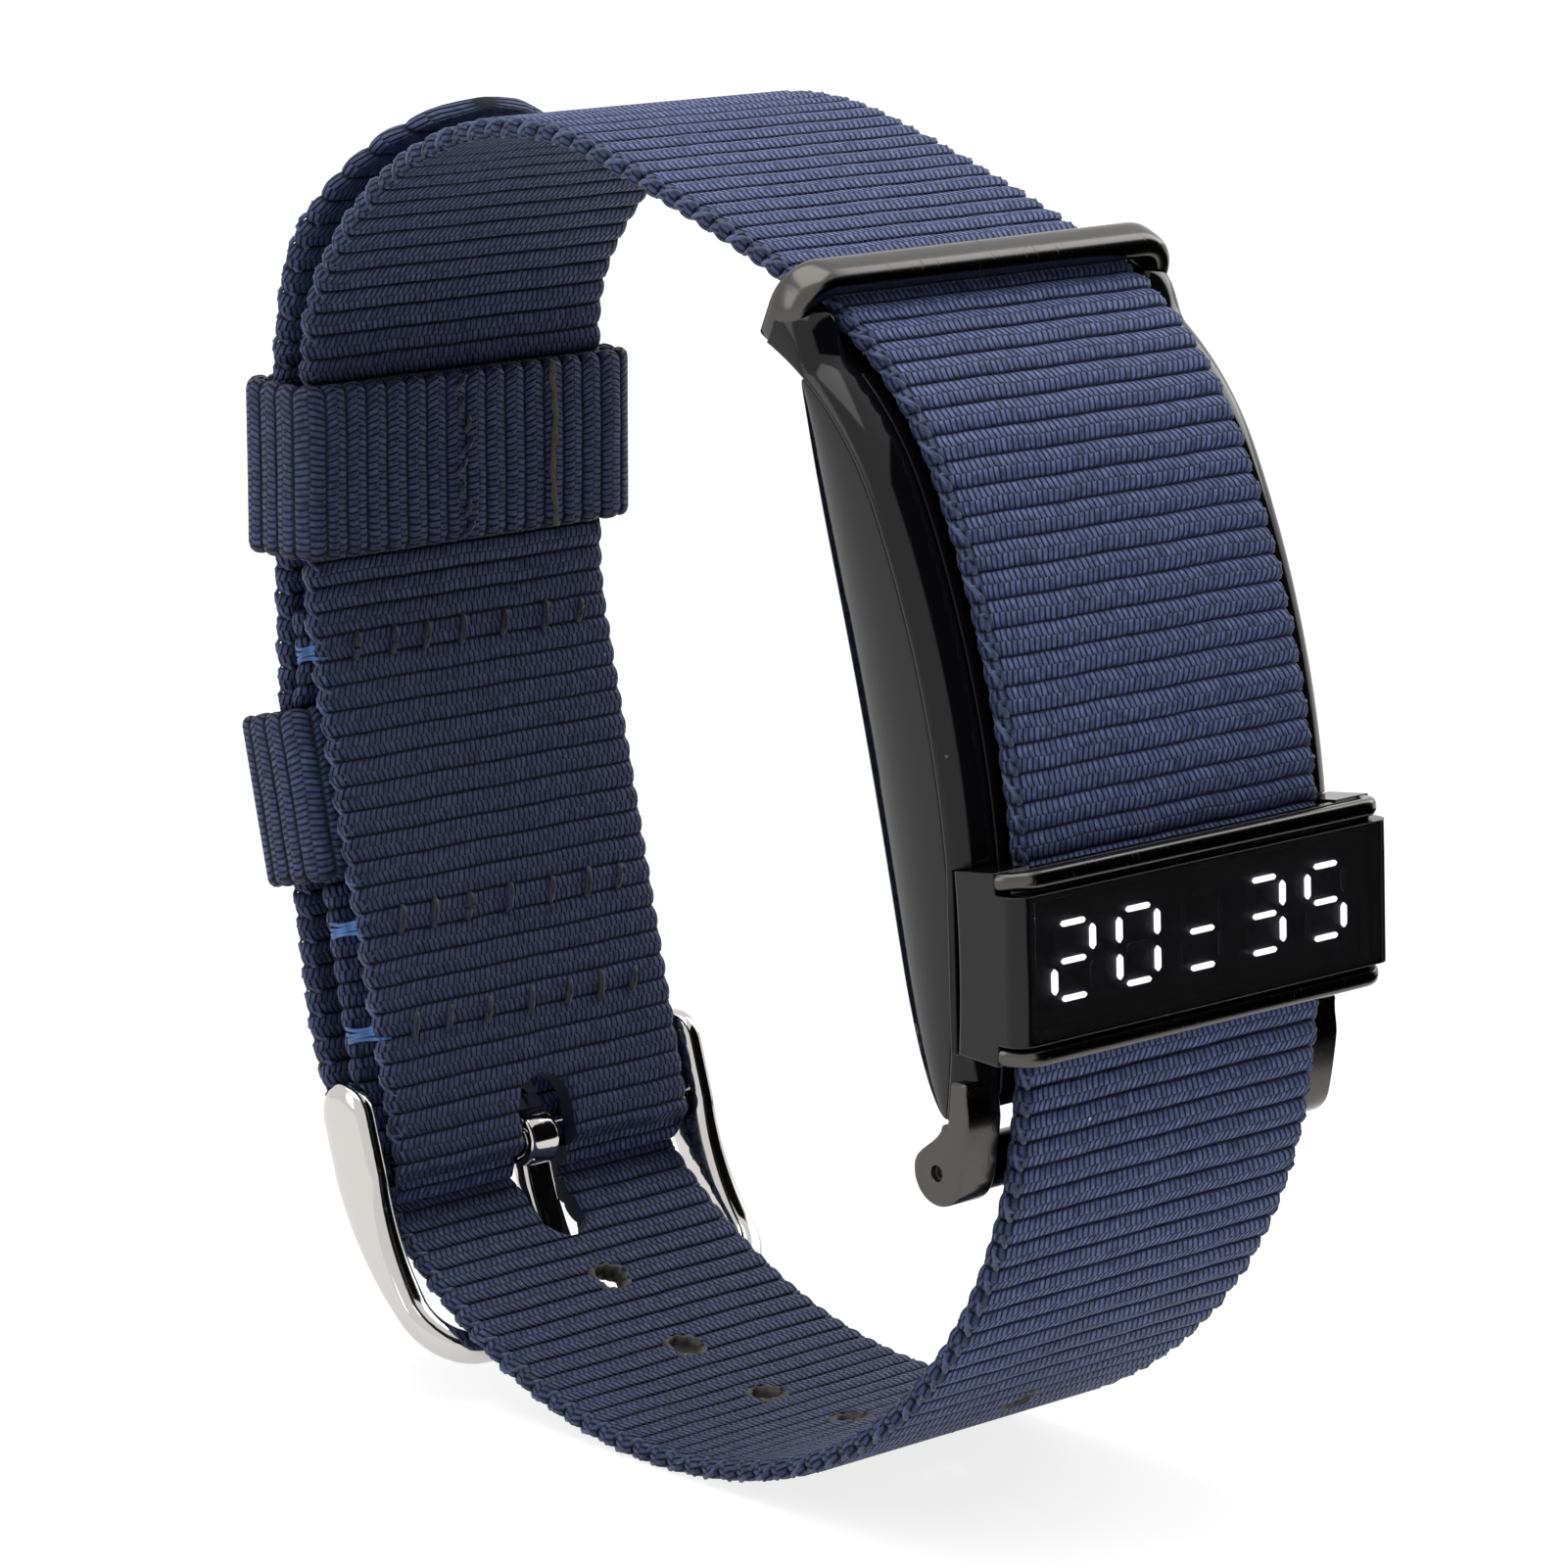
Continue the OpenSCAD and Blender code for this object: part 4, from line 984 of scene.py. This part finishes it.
def weave_group():
    """Two rows of slanted threads to each rib, over a soft random change of tone along the webbing,
    with painted shade between the threads and on faces marked as inner side, and painted highlights
    on the thread crests.
    """
    w, given, out = group("Ribbed weave", ("Groove Color", "Thread Color", "Crest Color"),
                          ("Color", "Height", "Lint"))
    weave = w.node("ShaderNodeAttribute", attribute_name="weave")
    parts = w.node("ShaderNodeSeparateXYZ")
    w.put(weave.outputs["Vector"], parts.inputs[0])
    girth, rib = parts.outputs[0], parts.outputs[1]
    place = w.place()
    drift = w.times(w.less(w.noise(place, 900, 3), 0.5), 0.5)
    across = w.less(w.math("FRACT", rib), 0.5)
    away = w.math("ABSOLUTE", across)
    second_row = w.times(w.math("GREATER_THAN", across, 0.0), 0.5)
    count = w.plus(girth, w.times(away, 0.8))
    count = w.plus(w.plus(count, second_row), drift)
    wave = w.math("ABSOLUTE", w.math("SINE", w.times(count, math.pi)))
    thread_height = w.ramp(wave, 0.12, 0.75)
    waist = w.less(1.0, w.times(w.ramp(away, 0.07, 0.0), 0.3))
    body = w.ramp(away, 0.5, 0.4)
    height = w.times(w.times(thread_height, waist), body)
    lit = w.times(height, w.ramp(w.noise(place, 2600, 2), 0.2, 0.75))
    # Painted shade: the gaps between threads take the dark groove colour.
    color = w.mix(height, given["Groove Color"], given["Thread Color"])
    # Painted highlight: the thread crests are brightened towards the crest colour.
    color = w.mix(w.times(lit, 0.75), color, given["Crest Color"])
    shade = w.plus(0.86, w.times(w.noise(place, 120, 2), 0.28))
    # Painted shade: faces marked as inner side come out darker.
    inner = w.math("LESS_THAN", parts.outputs[2], 0.0)
    shade = w.times(shade, w.less(1.0, w.times(inner, INNER_PAINTED_SHADE)))
    # Random tone together with the painted shade of the inner side.
    tone_and_shade = w.node("ShaderNodeHueSaturation")
    w.put(color, tone_and_shade.inputs["Color"])
    w.put(shade, tone_and_shade.inputs["Value"])
    specks = w.node("ShaderNodeTexVoronoi", Scale=420.0)
    w.put(place, specks.inputs["Vector"])
    lint = w.times(w.ramp(specks.outputs["Distance"], 0.05, 0.02),
                   w.ramp(w.noise(place, 700, 0), 0.69, 0.71))
    w.put(tone_and_shade.outputs["Color"], out["Color"])
    w.put(height, out["Height"])
    w.put(lint, out["Lint"])
    return w.tree


def wear_group():
    """Fine uneven polish: a roughness that drifts, with hairline scratches and dust."""
    w, given, out = group("Handled polish", ("Roughness", "Drift"), ("Roughness", "Height", "Dust"))
    place = w.place()
    stretch = w.node("ShaderNodeMapping", Scale=(1, 0.06, 0.3), Rotation=(0.3, 0.2, 0.5))
    w.put(place, stretch.inputs["Vector"])
    hair = w.ramp(w.noise(stretch.outputs[0], 5000, 1), 0.66, 0.74)
    drift = w.times(w.less(w.noise(place, 140, 4), 0.5), given["Drift"])
    rough = w.plus(given["Roughness"], drift)
    rough = w.plus(rough, w.times(hair, w.times(given["Drift"], 1.5)))
    dots = w.node("ShaderNodeTexVoronoi", Scale=900.0)
    w.put(place, dots.inputs["Vector"])
    dust = w.times(w.ramp(dots.outputs["Distance"], 0.09, 0.04),
                   w.ramp(w.noise(place, 1300, 0), 0.66, 0.7))
    w.put(w.math("MAXIMUM", rough, 0.01), out["Roughness"])
    w.put(w.times(hair, -1.0), out["Height"])
    w.put(dust, out["Dust"])
    return w.tree


def material(name, **settings):
    """A material with one Principled shader: returns it, its wires and the shader."""
    made = bpy.data.materials.new(name)
    made.use_nodes = True
    w = Wires(made.node_tree)
    shader = made.node_tree.nodes["Principled BSDF"]
    fill(shader, settings)
    return made, w, shader


WEAVE = weave_group()
WEAR = wear_group()


def bump(w, shader, height, strength, distance):
    """Relief from a height, in metres."""
    made = w.node("ShaderNodeBump", Strength=strength, Distance=distance)
    w.put(height, made.inputs["Height"])
    w.put(made.outputs[0], shader.inputs["Normal"])
    return made


def webbing_material(name, groove, thread_color, crest_highlight):
    """Woven webbing with a little sheen and stray lint; its colours carry painted shade between the
    threads and painted highlights on the thread crests.
    """
    made, w, shader = material(name, Sheen_Weight=0.06, Sheen_Roughness=0.4, Specular_IOR_Level=0.2)
    knit = w.node("ShaderNodeGroup", node_tree=WEAVE, Groove_Color=groove,
                  Thread_Color=thread_color, Crest_Color=crest_highlight).outputs
    w.put(w.mix(knit["Lint"], knit["Color"], LINT), shader.inputs["Base Color"])
    w.put(w.less(0.72, w.times(knit["Height"], 0.2)), shader.inputs["Roughness"])
    bump(w, shader, knit["Height"], 1.0, 0.00015)
    return made


def thread_material(name, dark, light):
    """Twisted sewing thread."""
    made, w, shader = material(name, Roughness=0.6, Sheen_Weight=0.2)
    twist = w.node("ShaderNodeTexWave", Scale=900.0, Distortion=3.0, Detail=1.0)
    w.put(w.place(), twist.inputs["Vector"])
    w.put(w.mix(twist.outputs["Fac"], dark, light), shader.inputs["Base Color"])
    bump(w, shader, twist.outputs["Fac"], 0.5, 0.00005)
    return made


def polished_material(name, color, rough, drift, edge=0.0, **settings):
    """Polished metal or lacquer with handled polish, dust and slightly rounded edges."""
    made, w, shader = material(name, **settings)
    polish = w.node("ShaderNodeGroup", node_tree=WEAR, Roughness=rough, Drift=drift).outputs
    w.put(w.mix(polish["Dust"], color, DUST), shader.inputs["Base Color"])
    w.put(polish["Roughness"], shader.inputs["Roughness"])
    relief = bump(w, shader, polish["Height"], 0.15, 0.00001)
    if edge:
        w.put(w.node("ShaderNodeBevel", Radius=edge).outputs[0], relief.inputs["Normal"])
    return made


def grained_material(name, dark, light, scale, relief_by=0.00002, **settings):
    """Moulded, printed or foil surfaces: a fine grain in colour and relief."""
    made, w, shader = material(name, **settings)
    grain = w.noise(w.place(), scale, 4)
    w.put(w.mix(grain, (*dark, 1), (*light, 1)), shader.inputs["Base Color"])
    bump(w, shader, grain, 0.6, relief_by)
    return made


def glass_material(name, tint):
    """Clear tinted glass with faint smears."""
    made, w, shader = material(name, Transmission_Weight=1.0, IOR=1.46, Base_Color=tint)
    smear = w.ramp(w.noise(w.place(), 160, 3), 0.4, 0.8)
    w.put(w.plus(0.02, w.times(smear, 0.03)), shader.inputs["Roughness"])
    return made


def lit_material(name, color, strength):
    """A glowing segment."""
    made, w, shader = material(name, Roughness=0.4, Emission_Strength=strength)
    glow = w.mix(w.noise(w.place(), 3000, 1), color, WHITE)
    w.put(glow, shader.inputs["Base Color"])
    w.put(glow, shader.inputs["Emission Color"])
    return made


# ---- Keepers ----


def out_of(place, point):
    """How far a point of the ring's plane lies from a place, towards the wrist."""
    h = math.radians(place[2])
    return (point[0] - place[0]) * math.sin(h) - (point[1] - place[1]) * math.cos(h)


def fixed_keeper_bounds():
    """The fixed keeper's inner space: the fold on one side, the slanting tail on the other."""
    tail_shift = run_to(TAIL_KEEPER) - run_to(STRAIGHT) - TAIL_LEAD
    fixed = at(FIXED_KEEPER_AT)
    tail = out_of(fixed, at(FIXED_KEEPER_AT + tail_shift))
    slant = out_of(fixed, at(FIXED_KEEPER_AT + tail_shift - KEEPER_W / 2)) - tail
    return -tail - slant - STRAP_T / 2 - LAYER_GAP, -STRAP_T / 2 - LAYER_GAP - KEEPER_T


FREE_BOUNDS = (-2 * (STRAP_T + LAYER_GAP) - STRAP_T / 2 - KEEPER_GAP, STRAP_T / 2 + KEEPER_GAP)
FREE_FACE = FREE_BOUNDS[1] + KEEPER_T
SEAM_X = 5.3
KEEPER_STITCH_X = -0.8
KEEPER_STITCH_R = 0.13


def keeper_seam():
    """The raised, heat-sealed joint where the keeper's two ends meet, on its inner face."""
    place = at(FREE_KEEPER_AT)
    centres, halves = [], []
    for t in np.arange(31) / 15 - 1:
        x = SEAM_X + 0.1 * math.sin(5 * t) + 0.04 * math.sin(23 * t)
        centres.append(point_at(place, x, t * (KEEPER_W / 2 - 0.15), -FREE_FACE))
        halves.append((0.17 + 0.04 * math.sin(17 * t), 0.14 + 0.03 * math.sin(31 * t)))
    rows = len(centres)
    outs = [ring_plane(place)[2]] * rows
    return sweep("keeper_seam", centres, [ACROSS] * rows, outs, halves, 2.2, 14)


def keeper_stitches():
    """A wavering line of stitches along the free keeper's inner face."""
    lines = []
    for k in range(8):
        mid = (k - 3.5) * 1.12
        line = []
        for t in np.linspace(-1, 1, 9):
            x = KEEPER_STITCH_X + 0.35 * math.sin(1.4 * (mid + 0.5 * t)) + 0.3 * t
            depth = FREE_FACE + 0.08 - 0.3 * t**4
            line.append(point_at(at(FREE_KEEPER_AT), x, mid + 0.46 * t, -depth))
        lines.append(line)
    return thread("keeper_stitches", lines, KEEPER_STITCH_R)


# ---- Scene ----

CAMERA_TURN = -41.93
CAMERA_LIFT = 11.87
CAMERA_ROLL = -0.58
CAMERA_AWAY = 294.57
CAMERA_TARGET = (0, -0.577, 33.441)
LENS = 134.92
SENSOR_W = 36
AIM = (0, 0, 0.03)
BEHIND = (0.668, 0.744, 0)


def place_camera():
    """The camera, turned and lifted round its target."""
    turn = Matrix.Identity(3)
    for angle, axis in ((CAMERA_TURN, "Z"), (90 - CAMERA_LIFT, "X"), (CAMERA_ROLL, "Z")):
        turn @= Matrix.Rotation(math.radians(angle), 3, axis)
    data = bpy.data.cameras.new("studio_camera")
    data.lens = LENS
    data.sensor_width = SENSOR_W
    data.clip_start = 0.01
    camera = in_scene("studio_camera", data)
    stand = Vector(CAMERA_TARGET) + turn.col[2] * CAMERA_AWAY
    camera.matrix_world = Matrix.Translation(stand * MM) @ turn.to_4x4()
    bpy.context.scene.camera = camera


def split_by_ray(w, lights, seen, end):
    """One shader to light the object, and another for the rays that show it or reflect."""
    rays = w.node("ShaderNodeLightPath").outputs
    shows = w.math("MAXIMUM", rays["Is Camera Ray"], rays["Is Transmission Ray"])
    mixed = w.node("ShaderNodeMixShader")
    w.put(w.math("MAXIMUM", shows, rays["Is Glossy Ray"]), mixed.inputs[0])
    w.put(lights.outputs[0], mixed.inputs[1])
    w.put(seen.outputs[0], mixed.inputs[2])
    w.put(mixed.outputs[0], w.tree.nodes[end].inputs[0])


def floor():
    """A white floor that keeps the soft shadow."""
    bpy.ops.mesh.primitive_plane_add(size=8)
    plane = bpy.context.object
    plane.name = "floor"
    made, w, shader = material("floor_white", Roughness=1.0, Specular_IOR_Level=0.0)
    mottled = w.mix(w.noise(w.place(), 40, 2), (0.8, 0.8, 0.8, 1), (0.83, 0.83, 0.83, 1))
    w.put(mottled, shader.inputs["Base Color"])
    dim = w.node("ShaderNodeBsdfDiffuse", Color=(0.3, 0.3, 0.3, 1))
    glow = w.node("ShaderNodeEmission", Strength=0.82)
    both = w.node("ShaderNodeAddShader")
    w.put(dim.outputs[0], both.inputs[0])
    w.put(glow.outputs[0], both.inputs[1])
    split_by_ray(w, shader, both, "Material Output")
    plane.data.materials.append(made)


def flag(name, place, tilt, turn, size):
    """A black card that only reflections see, to keep the lacquer and the glass dark."""
    bpy.ops.mesh.primitive_plane_add(size=1)
    card = bpy.context.object
    card.name = name
    card.scale = (*size, 1)
    card.rotation_euler = (math.radians(tilt), 0, math.radians(turn))
    card.location = place
    for kind in ("camera", "diffuse", "transmission", "volume_scatter", "shadow"):
        setattr(card, "visible_" + kind, False)
    card.data.materials.append(FINISH["flag_black"])


def world():
    """A studio: white to look at, bright above and behind, and dim at the camera's side."""
    made = bpy.data.worlds.new("studio")
    made.use_nodes = True
    bpy.context.scene.world = made
    w = Wires(made.node_tree)
    way = w.node("ShaderNodeTexCoord").outputs["Generated"]
    behind = w.node("ShaderNodeVectorMath", operation="DOT_PRODUCT")
    w.put(way, behind.inputs[0])
    w.put(BEHIND, behind.inputs[1])
    parts = w.node("ShaderNodeSeparateXYZ")
    w.put(way, parts.inputs[0])
    lit = w.math("MAXIMUM", w.ramp(behind.outputs["Value"], -0.1, 0.5),
                 w.ramp(parts.outputs[2], 0.35, 0.9))
    soft = made.node_tree.nodes["Background"]
    w.put(w.mix(w.plus(0.05, w.times(lit, 0.65)), (0, 0, 0, 1), WHITE), soft.inputs["Color"])
    split_by_ray(w, soft, w.node("ShaderNodeBackground", Strength=1.0, Color=WHITE), "World Output")


def lamp(name, place, size, power):
    """A rectangular lamp that looks at the object."""
    data = bpy.data.lights.new(name, "AREA")
    data.shape = "RECTANGLE"
    data.size, data.size_y = size
    data.energy = power
    made = in_scene(name, data)
    made.location = place
    made.rotation_euler = (Vector(AIM) - Vector(place)).to_track_quat("-Z", "Y").to_euler()


# ---- Putting it together ----

MATERIALS = [
    # Webbing colours: the groove colour is painted shade, then the thread colour, then the crest
    # colour as painted highlight.
    webbing_material("navy_webbing", (0.004, 0.005, 0.02, 1), (0.026, 0.038, 0.125, 1),
                     (0.2, 0.26, 0.56, 1)),
    webbing_material("keeper_webbing", (0.003, 0.004, 0.014, 1), (0.016, 0.022, 0.066, 1),
                     (0.1, 0.13, 0.27, 1)),
    thread_material("stitches", (0.003, 0.004, 0.014, 1), (0.014, 0.017, 0.045, 1)),
    thread_material("selvedge_thread", (0.015, 0.022, 0.07, 1), (0.06, 0.085, 0.2, 1)),
    thread_material("bright_thread", (0.015, 0.07, 0.25, 1), (0.05, 0.2, 0.5, 1)),
    polished_material("buckle_steel", (0.58, 0.56, 0.54, 1), 0.09, 0.08, Metallic=1.0),
    polished_material("lacquer_black", BLACK, 0.06, 0.03, edge=0.00015, Specular_IOR_Level=0.3),
    polished_material("gunmetal", (0.09, 0.085, 0.08, 1), 0.2, 0.1, edge=0.0001, Metallic=1.0),
    polished_material("turned_steel", (0.3, 0.3, 0.31, 1), 0.28, 0.15, Metallic=1.0),
    polished_material("foil_can", (0.5, 0.51, 0.53, 1), 0.3, 0.2, Metallic=1.0),
    polished_material("gold_plate", (0.72, 0.46, 0.12, 1), 0.14, 0.08, Metallic=1.0),
    glass_material("smoked_glass", (0.1, 0.1, 0.11, 1)),
    glass_material("window_glass", (0.4, 0.4, 0.43, 1)),
    lit_material("lit_white", (0.92, 0.96, 1, 1), 16.0),
    grained_material("film_and_copper", (0.42, 0.17, 0.03), (0.62, 0.3, 0.07), 1200,
                     Roughness=0.35, Metallic=0.6),
    grained_material("green_lens", (0.06, 0.5, 0.1), (0.14, 0.66, 0.2), 1500, 0.000005,
                     Roughness=0.15, Transmission_Weight=0.3),
    grained_material("flag_black", (0.002,) * 3, (0.004,) * 3, 5, Roughness=1.0,
                     Specular_IOR_Level=0.0),
]
GRAINED = (
    ("sealed_seam", (0.03, 0.026, 0.016), (0.11, 0.1, 0.07), 2500, 0.7),
    ("burnt_rim", (0.006, 0.006, 0.006), (0.04, 0.034, 0.03), 3000, 0.55),
    ("black_rubber", (0.008, 0.008, 0.009), (0.02, 0.02, 0.022), 4000, 0.75),
    ("solder_mask", (0.004, 0.05, 0.018), (0.01, 0.09, 0.03), 1800, 0.35),
    ("black_mask", (0.004, 0.004, 0.005), (0.008, 0.008, 0.009), 1800, 0.5),
    ("unlit_segment", (0.1, 0.1, 0.11), (0.14, 0.14, 0.15), 3000, 0.5),
    ("moulded_chip", (0.006, 0.006, 0.007), (0.02, 0.02, 0.022), 6000, 0.5),
)
MATERIALS += [grained_material(*row, Roughness=rough) for *row, rough in GRAINED]
FINISH = {made.name: made for made in MATERIALS}
KEPT_FINISHES = {
    "buckle_steel": ("buckle_pin",),
    "lacquer_black": ("case_cover", "display_housing"),
    "gunmetal": ("lower_bar", "motor_rotor"),
    "black_rubber": ("case_gasket", "light_barrier"),
    "turned_steel": ("case_screws",),
    "smoked_glass": ("display_glass",),
    "window_glass": ("sensor_window",),
    "black_mask": ("display_board",),
    "film_and_copper": ("display_flex",),
    "solder_mask": ("main_board", "sensor_board"),
    "moulded_chip": ("board_chips", "sensor_photodiodes"),
    "foil_can": ("battery", "battery_tabs", "motor_case"),
    "green_lens": ("sensor_leds",),
    "gold_plate": ("charging_contacts",),
}


def wear(piece, finish):
    """Gives a piece one finish."""
    piece.data.materials.clear()
    piece.data.materials.append(FINISH[finish])


def fit(piece, body, slot, finish, *nodes):
    """Gives a piece its finish and its body, and hides the nodes that it stands for."""
    wear(piece, finish)
    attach(piece, body)
    if nodes:
        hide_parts(*nodes)


def dress():
    """Every piece that the scene models, on its body."""
    fixed, free = at(FIXED_KEEPER_AT), at(FREE_KEEPER_AT)
    fit(strap_webbing(), "band", "webbing", "navy_webbing", "strap")
    fit(selvedge("strap_edges", 0.8, STRAP_LEN - 6), "band", "thread", "selvedge_thread")
    fit(stitch_rows(), "band", "thread", "stitches", "stitching")
    fit(edge_wraps(), "band", "thread", "bright_thread")
    fit(hole_rims(), "band", "webbing", "burnt_rim")
    fit(keeper("fixed_loop", fixed, *fixed_keeper_bounds()), "band", "webbing",
        "keeper_webbing", "fixed_keeper")
    fit(keeper("free_loop", free, *FREE_BOUNDS), "free_keeper", "webbing",
        "keeper_webbing", "free_keeper")
    fit(keeper_seam(), "free_keeper", "webbing", "sealed_seam")
    fit(keeper_stitches(), "free_keeper", "thread", "stitches")
    fit(buckle_frame(), "buckle", "steel", "buckle_steel", "buckle_frame")
    fit(buckle_tongue(), "tongue", "steel", "buckle_steel", "buckle_tongue")
    fit(rails(), "band", "case_black", "lacquer_black", "outer_frame")
    fit(top_loop(), "band", "dark_metal", "gunmetal", "outer_frame")
    fit(recess(), "band", "case_black", "lacquer_black")
    fit(display_rims(), "band", "dark_metal", "gunmetal", "display_trims")
    fit(lugs(), "band", "dark_metal", "gunmetal", "outer_frame")
    lit, unlit = digit_segments()
    fit(lit, "band", "lit_digits", "lit_white", "display_digits")
    fit(unlit, "band", "chip", "unlit_segment")
    fit(case_shell(), "band", "case_black", "lacquer_black", "rear_case")


for finish, nodes in KEPT_FINISHES.items():
    for node in nodes:
        wear(NODES[node], finish)
dress()
place_camera()
floor()
world()
lamp("overhead", (-0.05, 0.05, 0.75), (0.7, 0.7), 3.6)
lamp("right_panel", (0.6, 0.0, 0.4), (0.3, 0.5), 1.2)
lamp("left_panel", (-0.6, 0.2, 0.35), (0.3, 0.5), 0.9)
flag("front_flag", (0.09, -0.13, 0.1), 90, 35, (0.24, 0.22))
flag("floor_flag", (0.1, -0.11, 0.001), 0, 35, (0.24, 0.16))
bpy.context.scene.view_settings.view_transform = "Standard"
